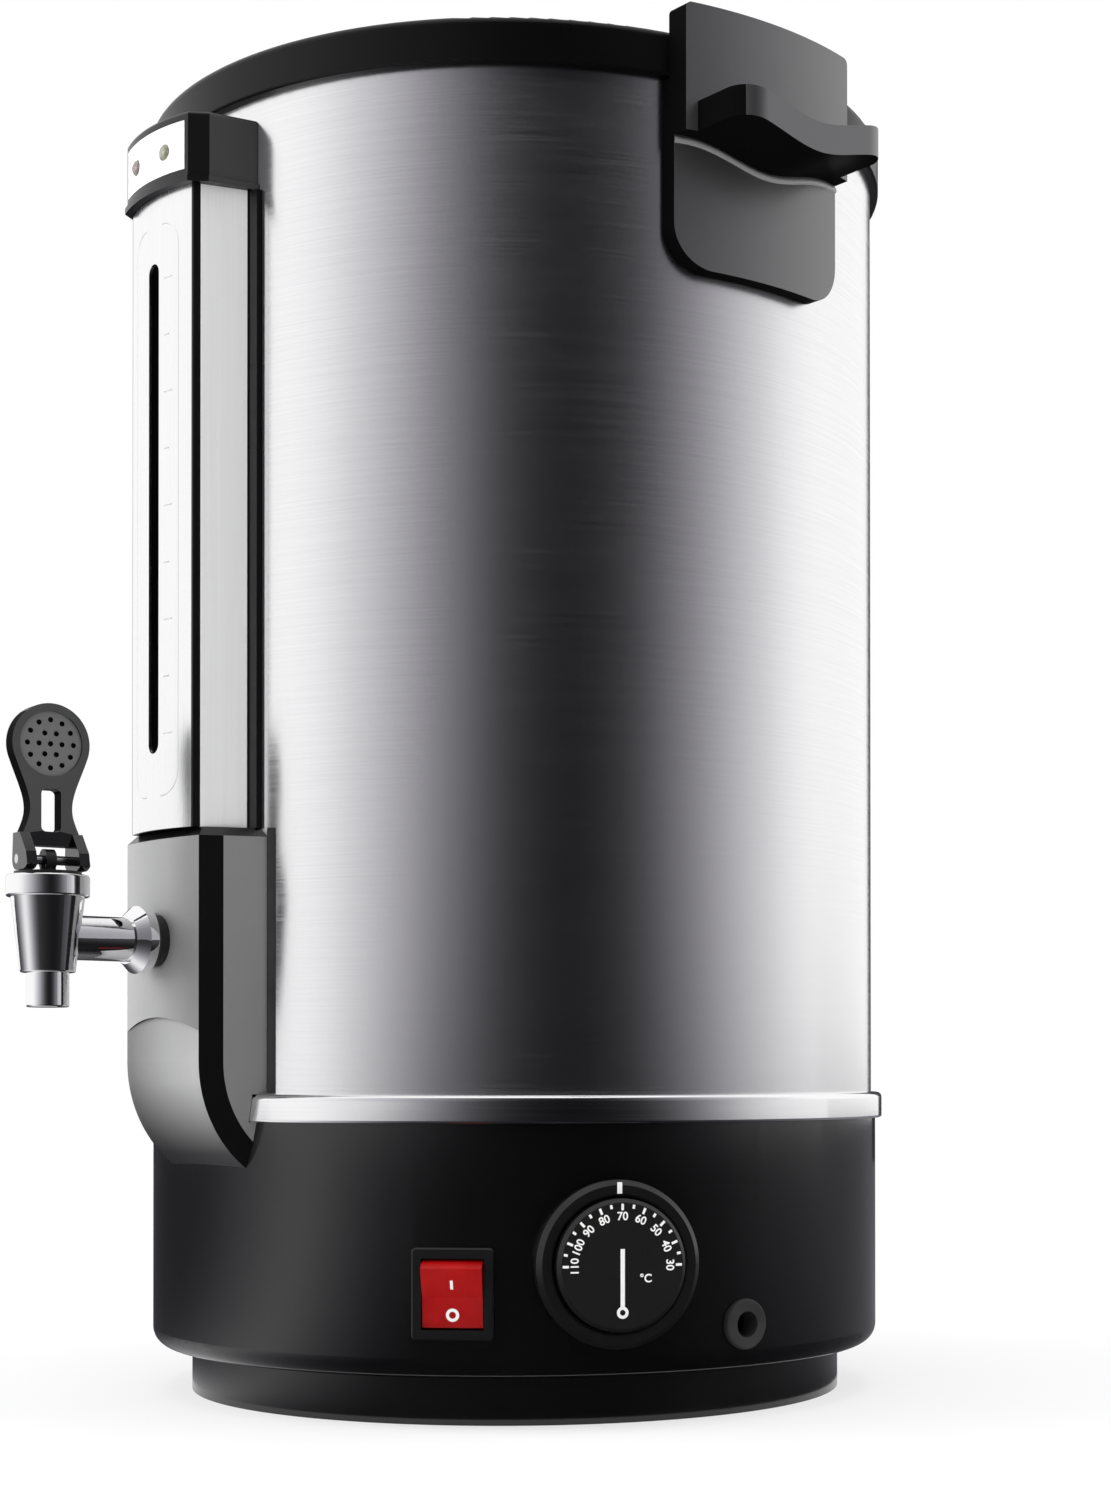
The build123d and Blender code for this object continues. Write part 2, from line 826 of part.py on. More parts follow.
def make_steam_vent():
    """Small slotted cap over the steam hole in the panel."""
    seat_z = panel_height(vent_out - vent_r)
    low_z = seat_z - 4 * panel_t
    slit_h = vent_cap_t / 2
    vent = disc(vent_spigot_r, low_z, seat_z) + disc(vent_r, seat_z, seat_z + vent_cap_t)
    vent -= disc(vent_bore_r, low_z, seat_z + slit_h)
    slit = Pos(0, 0, seat_z + slit_h / 2 + clear) * Box(2 * (vent_r + over), vent_slit_w, slit_h)
    vent -= slit + Rot(0, 0, 90) * slit
    return Pos(0, vent_out, 0) * vent


# --------------------------------------------------------------------- handles
def handle_wave(level):
    """Points of the wavy line under and over the finger ledge."""
    span = handle_half + 6 * over
    dip = level - ledge_wave
    flat = 0.55 * span
    return [(-span, level), (-flat, level), (0, dip), (flat, level), (span, level)]


def above_wave(level, top_z):
    points = handle_wave(level)
    wave = Spline(*points)
    sides = Polyline(points[-1], (points[-1][0], top_z), (points[0][0], top_z), points[0])
    return make_face([wave, *sides.edges()])


def make_handle():
    """One moulding: a thin shield below, a thick plate above and a ledge to lift by.
    It is drawn at the front and turned to its side afterwards."""
    seat_r = shell_r + slip
    shield_r = shell_r + handle_shield_t
    plate_out_r = shell_r + handle_plate_t
    front = shell_r + ledge_reach + over
    behind = shell_r - 20 * over
    rim_foot_z = shell_top_z - 10 * slip
    rounded = outline(
        [
            (-handle_half, handle_bottom_z),
            (handle_half, handle_bottom_z),
            (handle_half, handle_top_z),
            (-handle_half, handle_top_z),
        ],
        [handle_corner_r, handle_corner_r, 2.0, 2.0],
    )
    side_view = prism_out(rounded, behind, front)
    shield = disc(shield_r, handle_bottom_z, handle_top_z - over)
    plate = disc(plate_out_r, handle_bottom_z, handle_top_z) & prism_out(
        above_wave(ledge_under_z, handle_top_z), behind, front
    )
    body = (shield + plate) & side_view
    plan = outline(
        [
            (-ledge_half, -shell_r),
            (ledge_half, -shell_r),
            (ledge_half, -(shell_r + ledge_reach)),
            (-ledge_half, -(shell_r + ledge_reach)),
        ],
        [0, 0, ledge_end_r, ledge_end_r],
    )
    ledge = prism_up(plan, handle_bottom_z, handle_top_z)
    ledge &= prism_out(above_wave(ledge_under_z, handle_top_z), shell_r, front)
    ledge -= prism_out(above_wave(ledge_under_z + ledge_t, handle_top_z), shell_r, front)
    body += ledge
    body -= disc(seat_r, handle_bottom_z, rim_foot_z)
    body -= disc(rim_r + slip, rim_foot_z, handle_top_z)
    for x in (-handle_screw_x, handle_screw_x):
        body -= rod_out(screw_r, behind, plate_out_r - blind, handle_screw_z, x)
    return body


def make_handle_screws():
    screws = []
    for azimuth in (90, -90):
        for x in (-handle_screw_x, handle_screw_x):
            length = shell_r + handle_plate_t - blind - over - head_seat_d(x)
            screws.append(around(screw_outward(head_seat_d(x), length, x, handle_screw_z), azimuth))
    return screws


# ---------------------------------------------------------------- gauge column
def column_plan(grow):
    """Plan outline of the column, grown on every outer side."""
    front_d = col_front_d + grow
    half = col_half + grow
    back_d = shell_r - behind_jacket
    back_half = half + col_flare * (1 + behind_jacket / col_out)
    arc = ThreePointArc((-half, -front_d), (0, -(front_d + col_bulge)), (half, -front_d))
    rest = Polyline((half, -front_d), (back_half, -back_d), (-back_half, -back_d), (-half, -front_d))
    return make_face([arc, *rest.edges()])


def column_slab(depth, z0, z1):
    """Skin of the column's outside, of a given thickness."""
    return prism_up(column_plan(0), z0, z1) - prism_up(column_plan(-depth), z0, z1)


def sight_slot(width, d0, d1):
    middle = (slot_bottom_z + slot_top_z) / 2
    slot = Pos(0, middle) * SlotOverall(slot_top_z - slot_bottom_z, width, rotation=90)
    return prism_out(slot, d0, d1)


def front_skin(depth):
    """The bowed front of the column between its black corners."""
    half = col_half - plate_inset
    skin = column_slab(depth, col_bottom_z, cap_bottom_z)
    low_d, high_d = col_front_d - depth - over, col_front_d + col_bulge + over
    return skin & block(-half, half, low_d, high_d, col_bottom_z, cap_bottom_z)


def make_gauge_front_plate():
    front_d = col_front_d + col_bulge + over
    return front_skin(plate_t) - sight_slot(slot_w, col_front_d - plate_t - over, front_d)


def make_gauge_side():
    """Right-hand cheek plate."""
    plate = column_slab(side_t, col_bottom_z, cap_bottom_z)
    low_x, high_x = col_half - plate_inset, col_half + col_flare + over
    front_d, back_d = col_front_d - side_inset, shell_r - behind_jacket
    plate &= block(low_x, high_x, back_d, front_d, col_bottom_z, cap_bottom_z)
    return plate - disc(shell_r + side_foot, col_bottom_z, cap_bottom_z)


def make_gauge_frame(sides):
    """Moulded channel that carries the plates, screwed on from inside the jacket."""
    foot_half = col_half + col_flare + foot_w
    foot_back_d = sqrt(shell_r**2 - foot_half**2) - over
    hollow_half = col_half - col_wall
    hollow_front_d = col_front_d - col_front_wall
    frame = prism_up(column_plan(0), col_bottom_z, col_top_z)
    foot = disc(shell_r + foot_t, col_bottom_z, cap_bottom_z)
    foot &= block(-foot_half, foot_half, foot_back_d, col_front_d, col_bottom_z, cap_bottom_z)
    frame += foot
    frame -= disc(shell_r + slip, col_bottom_z, col_top_z)
    frame -= block(
        -hollow_half, hollow_half, shell_r - over, hollow_front_d, col_bottom_z, col_top_z
    )
    front_d = col_front_d + col_bulge + over
    frame -= sight_slot(slot_w + 2 * slot_edge, hollow_front_d - over, front_d)
    frame -= front_skin(plate_t + glue_t)
    frame -= sides
    screw_end_d = shell_r + gauge_screw_bite + over
    for x in (-gauge_screw_x, gauge_screw_x):
        for z in gauge_screw_zs:
            frame -= rod_out(screw_r, head_seat_d(x), screw_end_d, z, x)
    return frame


def make_gauge_screws():
    screws = []
    for x in (-gauge_screw_x, gauge_screw_x):
        for z in gauge_screw_zs:
            length = shell_r + gauge_screw_bite - head_seat_d(x)
            screws.append(screw_outward(head_seat_d(x), length, x, z))
    return screws


def make_sight_tube():
    return disc(tube_r, tube_bottom_z, tube_top_z, 0, -gauge_d) - disc(
        tube_r - tube_wall, tube_bottom_z, tube_top_z, 0, -gauge_d
    )


def tube_seal(z0):
    return disc(seal_r, z0, z0 + seal_h, 0, -gauge_d) - disc(tube_r + slip, z0, z0 + seal_h, 0, -gauge_d)


def make_gauge_tee():
    """Clamped on the tap's shank; feeds the sight tube from it."""
    back_d = shell_r + shell_seal_t
    tee_r = shank_seal_r + over
    top_z = lower_seal_z + seal_h
    tee = rod_out(tee_r, back_d, house_inner_d, tap_z)
    tee += disc(socket_r, tap_z, top_z, 0, -gauge_d)
    seal_room = block(-tee_r, tee_r, shell_r - over, back_d, tap_z - tee_r, tap_z + tee_r)
    tee -= seal_room + rod_out(thread_r + running, back_d - over, house_inner_d + over, tap_z)
    tee -= disc(tube_r - tube_wall, tap_z, tube_bottom_z, 0, -gauge_d)
    tee -= disc(tube_r + running, tube_bottom_z, lower_seal_z, 0, -gauge_d)
    tee -= disc(seal_r + running, lower_seal_z, top_z, 0, -gauge_d)
    return tee


# ---------------------------------------------------------------- cap and lamps
def bevelled_plan(half, front_d, bulge, bevel_w, bevel_d, flare):
    """Plan of a cover: bowed front, bevelled corners and cheeks that flare to the jacket."""
    side_x, side_d = half + bevel_w, front_d - bevel_d
    back_x, back_d = side_x + flare, shell_r - behind_jacket
    arc = ThreePointArc((-half, -front_d), (0, -(front_d + bulge)), (half, -front_d))
    rest = Polyline(
        (half, -front_d),
        (side_x, -side_d),
        (back_x, -back_d),
        (-back_x, -back_d),
        (-side_x, -side_d),
        (-half, -front_d),
    )
    return make_face([arc, *rest.edges()])


def cap_plan(grow):
    """Plan outline of the cap: bowed front, bevelled corners, flared cheeks."""
    half, front_d = col_half + grow, col_front_d + cap_proud + grow
    return bevelled_plan(half, front_d, col_bulge, cap_chamfer, cap_bevel, cap_flare)


def make_lamp_panel():
    half = col_half - lamp_panel_inset
    low_d, high_d = col_front_d, col_front_d + cap_proud + col_bulge + over
    panel = prism_up(cap_plan(0), lamp_panel_bottom_z, lamp_panel_top_z)
    panel -= prism_up(cap_plan(-lamp_panel_t), lamp_panel_bottom_z, lamp_panel_top_z)
    panel &= block(-half, half, low_d, high_d, lamp_panel_bottom_z, lamp_panel_top_z)
    for x in (-lamp_x, lamp_x):
        panel -= rod_out(lamp_r + slip, low_d, high_d, lamp_z, x)
    return panel


def lamp_front_d():
    """Front of a lamp's lens, just proud of the bowed panel."""
    bow = col_bulge * (1 - (lamp_x / col_half) ** 2)
    return col_front_d + cap_proud + bow + lamp_proud


def make_lamp(x):
    lens = rod_out(lamp_r, lamp_front_d() - lamp_len, lamp_front_d(), lamp_z, x)
    front = lens.faces().sort_by(Axis.Y)[0]
    return fillet(front.edges(), lamp_r / 2)


def make_gauge_cap(panel):
    cap = prism_up(cap_plan(0), cap_bottom_z, cap_top_z)
    top = cap.faces().sort_by(Axis.Z)[-1]
    cap = fillet(top.edges().sort_by(Axis.Y)[:5], cap_edge)   # all but the edge at the jacket
    cap += prism_up(cap_plan(cap_lip), cap_bottom_z, cap_bottom_z + cap_lip_h)
    hollow_half = col_half - cap_wall
    hollow_front_d = lamp_front_d() - lamp_len
    roof_z = cap_top_z - cap_roof_t
    cap -= prism_up(column_plan(slip), cap_bottom_z, col_top_z)
    back_d = shell_r - behind_jacket
    cap -= block(-hollow_half, hollow_half, back_d, hollow_front_d, col_top_z, roof_z)
    cap += disc(cap_boss_r, col_top_z, roof_z, 0, -gauge_d)
    cap -= disc(shell_r + slip, cap_bottom_z, cap_top_z)
    cap -= disc(seal_r + running, col_top_z, upper_seal_z + seal_h, 0, -gauge_d)
    cap -= disc(tube_r + running, col_top_z, tube_top_z, 0, -gauge_d)
    cap -= disc(air_hole_r, tube_top_z - over, cap_top_z, 0, -gauge_d)
    for x in (-lamp_x, lamp_x):
        cap -= rod_out(lamp_r + running, hollow_front_d - over, lamp_front_d(), lamp_z, x)
    return cap - panel


# --------------------------------------------------------------- tap housing
def house_plan(grow, step):
    half, front_d = house_half + grow, house_front_d + grow
    return bevelled_plan(
        half, front_d, house_bulge - step, house_chamfer_x, house_chamfer_d, house_flare
    )


def house_block(grow, step=0):
    """Plan pushed up to the column, and rolled under below house_belly_z."""
    plan = house_plan(grow, step)
    solid = prism_up(plan, house_belly_z, col_bottom_z)
    top = solid.faces().sort_by(Axis.Z)[-1]
    solid = chamfer(top.edges().sort_by(Axis.Y)[:5], house_top_chamfer)
    centre_d = house_front_d + house_bulge - house_belly_r
    belly_axis = Axis((0, -centre_d, house_belly_z), (1, 0, 0))
    return solid + revolve(Pos(0, 0, house_belly_z) * plan, belly_axis, 90)


def make_tap_housing():
    """Cover over the shank and the tee; its front steps back below an arched edge."""
    front_d = house_front_d + house_bulge + over
    back_d = shell_r - behind_jacket - over
    arch_z = foot_z + arch_rise - arch_r
    arch = rod_out(arch_r, back_d, front_d, arch_z)
    solid = (house_block(0) - arch) + house_block(0, house_step)
    hollow_half = house_half - house_wall
    roof_z = col_bottom_z - house_wall
    solid -= block(-hollow_half, hollow_half, back_d, house_inner_d, house_belly_z, roof_z)
    low_room = block(
        -hollow_half, hollow_half, back_d, house_inner_d, house_bottom_z, house_belly_z
    )
    solid -= low_room & house_block(-house_wall, house_step)
    solid -= disc(base_r + slip, house_bottom_z, foot_z)
    solid -= disc(ring_r + slip, foot_z, foot_z + ring_h)
    solid -= disc(shell_r + slip, foot_z, col_bottom_z)
    solid -= rod_out(washer_r + 5 * slip, tap_face_d, front_d, tap_z)
    solid -= rod_out(thread_r + slip, house_inner_d - over, front_d, tap_z)
    tube_room = socket_r + clear
    tube_hole = disc(tube_room, tap_z, col_bottom_z, 0, -gauge_d)
    return solid - tube_hole


# ------------------------------------------------------------------------- tap
def make_tap_body():
    """Turned body with its shank; the valve seat is a raised ring in the chamber."""
    nozzle_top_z = tap_bottom_z + nozzle_len
    body = turned(
        [
            (0, tap_bottom_z),
            (nozzle_r, tap_bottom_z),
            (nozzle_r, nozzle_top_z),
            (cone_low_r, nozzle_top_z),
            (cone_top_r, cone_top_z),
            (tap_thread_r, cone_top_z),
            (tap_thread_r, tap_top_z),
            (0, tap_top_z),
        ],
        [0, 0.6, 0, 0.8, 0, 0, 0, 0],
    )
    body = Pos(0, -tap_d, 0) * body
    flange_front_d = flange_back_d + flange_t
    body += rod_out(shank_r, flange_back_d, tap_d, tap_z)
    body += turned_out(
        [
            (0, flange_back_d),
            (flange_r - flange_edge, flange_back_d),
            (flange_r, flange_back_d + flange_edge),
            (flange_r, flange_back_d + flange_rim_t),
            (shank_r + flange_edge / 2, flange_front_d),
            (0, flange_front_d),
        ],
        tap_z,
    )
    body += rod_out(thread_r, shank_end_d, flange_back_d, tap_z)
    body -= disc(chamber_r, chamber_floor_z, tap_top_z, 0, -tap_d)
    seat = disc(nozzle_bore_r + seat_w, chamber_floor_z, seat_z, 0, -tap_d)
    body -= rod_out(shank_bore_r, shank_end_d, tap_d, tap_z)
    body += seat
    body -= disc(nozzle_bore_r, tap_bottom_z, seat_z, 0, -tap_d)
    body -= disc(tee_hole_r, tap_z, tap_z + thread_r + over, 0, -gauge_d)
    return body


def make_tap_collar():
    collar = turned(
        [
            (tap_thread_r + running, cone_top_z),
            (collar_r, cone_top_z),
            (collar_r, collar_top_z),
            (bush_neck_r + slip, collar_top_z),
            (bush_neck_r + slip, collar_top_z - collar_lip_t),
            (tap_thread_r + running, collar_top_z - collar_lip_t),
        ],
        [0, 0.7, 1.0, 0, 0, 0],
    )
    return Pos(0, -tap_d, 0) * collar


def make_guide_bush():
    bush = disc(chamber_r - running, spring_top_z, bush_flange_low_z)
    bush += disc(tap_thread_r - slip, bush_flange_low_z, bush_flange_top_z)
    bush += disc(bush_neck_r, bush_flange_top_z, bush_top_z)
    bush -= disc(stem_r + running, spring_top_z, bush_top_z)
    return Pos(0, -tap_d, 0) * bush


def at_tap(part):
    """Place a piece drawn about the tap's axis, turned to the lever's rest bearing."""
    return Pos(0, -tap_d, 0) * Rot(0, 0, lever_azimuth) * part


def make_tap_stem():
    plug_top_z = seat_z + plug_h
    stem = disc(stem_r, plug_top_z - stem_bite, pin_z - pin_r - running)
    stem += disc(stem_shoulder_r, plug_top_z, shoulder_top_z)
    stem += rod_across(stem_head_r, -stem_head_t / 2, stem_head_t / 2, 0, pin_z)
    stem -= rod_across(pin_r + running, -stem_head_t, stem_head_t, 0, pin_z)
    return at_tap(stem)


def make_seat_plug():
    """Silicone plug that closes the raised seat; the stem is moulded into it."""
    top_z = seat_z + plug_h
    plug = turned(
        [
            (0, seat_z),
            (plug_r - plug_bevel, seat_z),
            (plug_r, seat_z + plug_bevel),
            (plug_r - plug_bevel, top_z),
            (0, top_z),
        ]
    )
    return at_tap(plug - disc(stem_r, top_z - stem_bite, top_z))


def make_tap_spring():
    """Coil that shuts the tap, between the stem's shoulder and the bush."""
    low = shoulder_top_z + spring_wire_r + running
    height = spring_top_z - spring_wire_r - running - low
    path = Helix(height / spring_turns, height, spring_r)
    start = Plane(path @ 0, x_dir=(0, 0, 1), z_dir=path % 0)
    coil = sweep(start * Circle(spring_wire_r), path=path, is_frenet=True)
    return at_tap(Pos(0, 0, low) * coil)


# ----------------------------------------------------------------------- lever
def cam_point(angle):
    """Point of the lever's foot that rides on the bush when it is swung by angle,
    from the pin: forward, and down."""
    lift = lever_base + cam_rate * angle
    forward = lift * sin(angle) + cam_rate * cos(angle)
    down = lift * cos(angle) - cam_rate * sin(angle)
    return forward, down


def ear_side_view():
    """Side view in (y, z) of one ear: a cam in front and below, a round heel behind."""
    swing = radians(lever_swing)
    curve = [cam_point(swing * i / 3) for i in range(4)]
    cam = Spline(*[(-forward, pin_z - down) for forward, down in curve])
    heel = ThreePointArc(
        (0, pin_z - lever_base),
        (lever_base * sin(radians(45)), pin_z - lever_base * cos(radians(45))),
        (lever_base, pin_z),
    )
    toe_y, toe_z = -curve[-1][0], pin_z - curve[-1][1]
    root_z = pin_z + ear_rise
    flat = Line((-curve[0][0], pin_z - lever_base), (0, pin_z - lever_base))
    back = Polyline(
        (lever_base, pin_z),
        (lever_t / 2, root_z),
        (-lever_t / 2, root_z),
        (toe_y + toe_w, toe_z + toe_h),
        (toe_y, toe_z),
    )
    return make_face([cam, flat, heel, *back.edges()])


def paddle_face():
    """Front view in (x, z): broad shoulders, a waist, and a round thumb pad."""
    join_x = pad_r * cos(radians(pad_join))
    join_z = pad_z - pad_r * sin(radians(pad_join))
    right = Spline(
        (lever_half, shoulder_z),
        (neck_half, neck_z),
        (join_x, join_z),
        tangents=((-neck_lean, 1.0), (neck_lean, 1.0)),
    )
    left = Spline(
        (-join_x, join_z),
        (-neck_half, neck_z),
        (-lever_half, shoulder_z),
        tangents=((neck_lean, -1.0), (-neck_lean, -1.0)),
    )
    foot = Polyline(
        (-lever_half, shoulder_z), (-lever_half, pin_z), (lever_half, pin_z), (lever_half, shoulder_z)
    )
    neck = make_face([right, Line((join_x, join_z), (-join_x, join_z)), left, *foot.edges()])
    return neck + Pos(0, pad_z) * Circle(pad_r)


def dimples():
    """Rings of small dimples in the thumb pad: one, six and twelve."""
    front = lever_t / 2 - pad_dish_t
    holes = []
    for ring, count in ((0, 1), (1, 6), (2, 12)):
        for i in range(count):
            angle = radians(360 * i / count)
            x, z = ring * dimple_pitch * cos(angle), pad_z + ring * dimple_pitch * sin(angle)
            holes.append(rod_out(dimple_r, front - dimple_t, front + over, z, x))
    return holes


def make_tap_lever():
    half_t = lever_t / 2
    gap_half = lever_half - ear_t
    bridge_z = pin_z + stem_head_r + fork_gap
    lever = prism_out(paddle_face(), -half_t, half_t)
    lever += prism_across(ear_side_view(), gap_half, lever_half)
    lever += prism_across(ear_side_view(), -lever_half, -gap_half)
    lever -= block(-gap_half, gap_half, -half_t - over, half_t + over, pin_z - over, bridge_z)
    slot_z = pin_z + lever_slot_rise + lever_slot_h / 2
    slot = Pos(0, slot_z) * RectangleRounded(lever_slot_w, lever_slot_h, lever_slot_corner_r)
    lever -= prism_out(slot, -half_t - over, half_t + over)
    lever -= rod_out(pad_dish_r, half_t - pad_dish_t, half_t + over, pad_z)
    lever -= dimples()
    lever -= rod_across(pin_r, -lever_half, lever_half, 0, pin_z)
    return at_tap(lever)


def make_lever_pin():
    return at_tap(rod_across(pin_r, -lever_half, lever_half, 0, pin_z))


# ------------------------------------------------------------ shank fasteners
def washer_out(outer, inner, d0, d1):
    """Ring on the tap's shank."""
    return rod_out(outer, d0, d1, tap_z) - rod_out(inner, d0, d1, tap_z)


def make_shank_seals():
    """Two rubber washers: one under the tee on the jacket, one inside the tank."""
    shell_side_d = sqrt(shell_r**2 - shank_seal_r**2) - over
    shell_seal = washer_out(shank_seal_r, thread_r + running, shell_side_d, shell_r + shell_seal_t)
    shell_seal -= disc(shell_r, foot_z, shell_top_z)
    tank_seal = washer_out(shank_seal_r, thread_r + running, tank_seal_d, tank_in_r)
    tank_seal &= disc(tank_in_r, foot_z, shell_top_z)
    return [shell_seal, tank_seal]


def make_shank_spacer():
    """Sleeve on the shank that keeps the jacket and the tank apart when the nut is tight."""
    spacer = washer_out(spacer_r, thread_r + running, tank_wall_out_d, shell_in_r)
    return (spacer & disc(shell_in_r, foot_z, shell_top_z)) - disc(tank_r, foot_z, shell_top_z)


def make_shank_nut():
    face = Pos(0, tap_z) * RegularPolygon(shank_nut_r, 6)
    nut = prism_out(face, tank_seal_d - shank_nut_t, tank_seal_d)
    return nut - rod_out(thread_r, tank_seal_d - shank_nut_t, tank_seal_d, tap_z)


# --------------------------------------------------------------- dial, thermostat
def make_dial_bezel():
    ring = turned_out(
        [
            (bezel_in_r, dial_pad_out),
            (bezel_r, dial_pad_out),
            (bezel_r, dial_pad_out + bezel_h - bezel_edge),
            (bezel_r - bezel_edge, dial_pad_out + bezel_h),
            (bezel_in_r + bezel_inner_edge, dial_pad_out + bezel_h),
            (bezel_in_r, dial_pad_out + bezel_h - bezel_inner_edge),
        ],
        dial_z,
    )
    return around(ring, dial_azimuth)


def make_dial_knob():
    back_d = dial_pad_out + clear
    cap_d = dial_front_out - dial_cap_t
    knob = turned_out(
        [
            (spindle_r, back_d),
            (dial_r, back_d),
            (dial_r, dial_front_out - dial_edge),
            (dial_r - dial_edge, dial_front_out),
            (0, dial_front_out),
            (0, cap_d),
            (spindle_r, cap_d),
        ],
        dial_z,
    )
    recess = rod_out(dial_recess_r, back_d, back_d + dial_recess_t, dial_z)
    return around(knob - recess, dial_azimuth)


def make_thermostat_nut():
    hexagon = Pos(0, dial_z) * RegularPolygon(nut_r, 6)
    nut_front_d = dial_pad_out + nut_t
    nut = prism_out(hexagon, dial_pad_out, nut_front_d)
    return around(nut - rod_out(bushing_r, dial_pad_out, nut_front_d, dial_z), dial_azimuth)


def make_thermostat_body():
    half_w, half_h = thermostat_w / 2, thermostat_h / 2
    back_d = dial_rear_d - thermostat_d
    front_d = dial_pad_out + nut_t
    body = block(-half_w, half_w, back_d, dial_rear_d, dial_z - half_h, dial_z + half_h)
    body += rod_out(bushing_r, dial_rear_d, front_d, dial_z)
    for x in (-thermostat_w / 3, thermostat_w / 3):
        tab_z = dial_z - half_h / 2
        body += block(x - tab_w / 2, x + tab_w / 2, back_d - tab_len, back_d, tab_z, tab_z + tab_t)
    spindle_end_d = dial_rear_d - spindle_inside - clear
    body -= rod_out(spindle_r + running, spindle_end_d, front_d, dial_z)
    return around(body, dial_azimuth)


def make_thermostat_spindle():
    back_d, front_d = dial_rear_d - spindle_inside, dial_front_out - dial_cap_t
    return around(rod_out(spindle_r, back_d, front_d, dial_z), dial_azimuth)


def make_sensor_bulb():
    """Thermostat bulb under the tank with its capillary led down to the thermostat."""
    bulb_z = tank_under_z - bulb_r
    thermo_top_z = dial_z + thermostat_h / 2
    thermo_d = dial_rear_d - 0.7 * thermostat_d
    bulb_x = bulb_len / 2
    drop = bulb_z - thermo_top_z
    route = [
        (bulb_x, -bulb_out, bulb_z),
        (bulb_x + bulb_lead, -bulb_out, bulb_z),
        (bulb_x + 1.4 * bulb_lead, -(bulb_out + capillary_sweep), bulb_z - 0.1 * drop),
        (bulb_x + 0.2 * bulb_lead, -(thermo_d - 2 * capillary_r), bulb_z - 0.65 * drop),
        (bulb_x / 3, -thermo_d, bulb_z - 0.72 * drop),
        (bulb_x / 3, -thermo_d, thermo_top_z),
    ]
    bends = [capillary_bend_r, 1.3 * capillary_bend_r, 1.3 * capillary_bend_r, 0.7 * capillary_bend_r]
    path = FilletPolyline(*route, radius=bends)
    start = Plane(path @ 0, z_dir=path % 0)
    tube = sweep(start * Circle(capillary_r), path=path)
    return around(rod_across(bulb_r, -bulb_x, bulb_x, bulb_out, bulb_z) + tube, dial_azimuth)


# ---------------------------------------------------------------- rocker switch
def make_switch_body():
    flange = Pos(0, switch_z) * RectangleRounded(switch_w, switch_h, switch_corner_r)
    body_face = Pos(0, switch_z) * Rectangle(switch_body_w, switch_body_h)
    well = Pos(0, switch_z) * Rectangle(2 * well_half_w, 2 * well_half_h)
    back_d = switch_seat_d - switch_depth
    rim = prism_out(flange, switch_seat_d, switch_front_d)
    rim = chamfer(rim.faces().sort_by(Axis.Y)[0].edges(), switch_edge)
    body = rim + prism_out(body_face, back_d, switch_seat_d)
    body -= prism_out(well, switch_front_d - well_depth, switch_front_d)
    socket = well_half_w + trunnion_len + 2 * running
    body -= rod_across(trunnion_r + running, -socket, socket, rocker_pivot_d, switch_z)
    low_z, high_z = switch_z - tab_w / 2, switch_z + tab_w / 2
    for x in (-switch_body_w / 4, 0, switch_body_w / 4):
        body += block(x - tab_t / 2, x + tab_t / 2, back_d - tab_len, back_d, low_z, high_z)
    return around(body, switch_azimuth)


def make_rocker():
    """See-saw cap with a shallow valley, resting with its lower end pressed in."""
    end_z = sqrt(rocker_r**2 - rocker_out**2)
    back_z = sqrt(rocker_r**2 - rocker_back**2)

    def at(out, z):
        return (-(rocker_pivot_d + out), switch_z + z)

    corner = degrees(asin(rocker_out / rocker_r))
    middle = radians((corner - degrees(asin(rocker_back / rocker_r))) / 2)
    upper_mid = at(rocker_r * sin(middle), rocker_r * cos(middle))
    lower_mid = at(rocker_r * sin(middle), -rocker_r * cos(middle))
    upper = ThreePointArc(at(rocker_out, end_z), upper_mid, at(-rocker_back, back_z))
    lower = ThreePointArc(at(-rocker_back, -back_z), lower_mid, at(rocker_out, -end_z))
    back = Line(at(-rocker_back, back_z), at(-rocker_back, -back_z))
    front = Polyline(at(rocker_out, -end_z), at(rocker_valley, 0), at(rocker_out, end_z))
    cap = prism_across(make_face([upper, back, lower, *front.edges()]), -rocker_half_w, rocker_half_w)
    reach = well_half_w + trunnion_len
    cap += rod_across(trunnion_r, -reach, reach, rocker_pivot_d, switch_z)
    tilt_axis = Axis((0, -rocker_pivot_d, switch_z), (1, 0, 0))
    return around(cap.rotate(tilt_axis, rocker_tilt), switch_azimuth)


# ------------------------------------------------------- gland, terminals, heater
def make_cord_gland():
    """Rubber grommet in the drum's wall; the mains cord would leave through it."""
    back_d, front_d = gland_inner_d - gland_flange_t, gland_seat_d + gland_flange_t
    gland = rod_out(gland_flange_r, gland_seat_d, front_d, gland_z)
    gland = fillet(gland.faces().sort_by(Axis.Y)[0].edges(), gland_edge_r)
    gland += rod_out(gland_sleeve_r, back_d, gland_seat_d, gland_z)
    gland += rod_out(gland_flange_r - slip, back_d, gland_inner_d, gland_z)
    gland -= rod_out(gland_bore_r, back_d, front_d, gland_z)
    return around(gland, gland_azimuth)


def make_terminal_block():
    """Three-way block screwed to the drum's floor, where the cord's wires end."""
    low_z = base_floor_z + base_wall
    high_z = low_z + terminal_h
    front_d = base_in_r - terminal_set
    back_d = front_d - terminal_d
    middle_d = (front_d + back_d) / 2
    wire_z = low_z + terminal_h / 3
    body = block(-terminal_w / 2, terminal_w / 2, back_d, front_d, low_z, high_z)
    for x in (-terminal_w / 3, 0, terminal_w / 3):
        body -= disc(terminal_screw_r, high_z - terminal_h / 3, high_z, x, -middle_d)
        body -= rod_out(terminal_wire_r, back_d, middle_d - terminal_screw_r, wire_z, x)
    return around(body, terminal_azimuth)


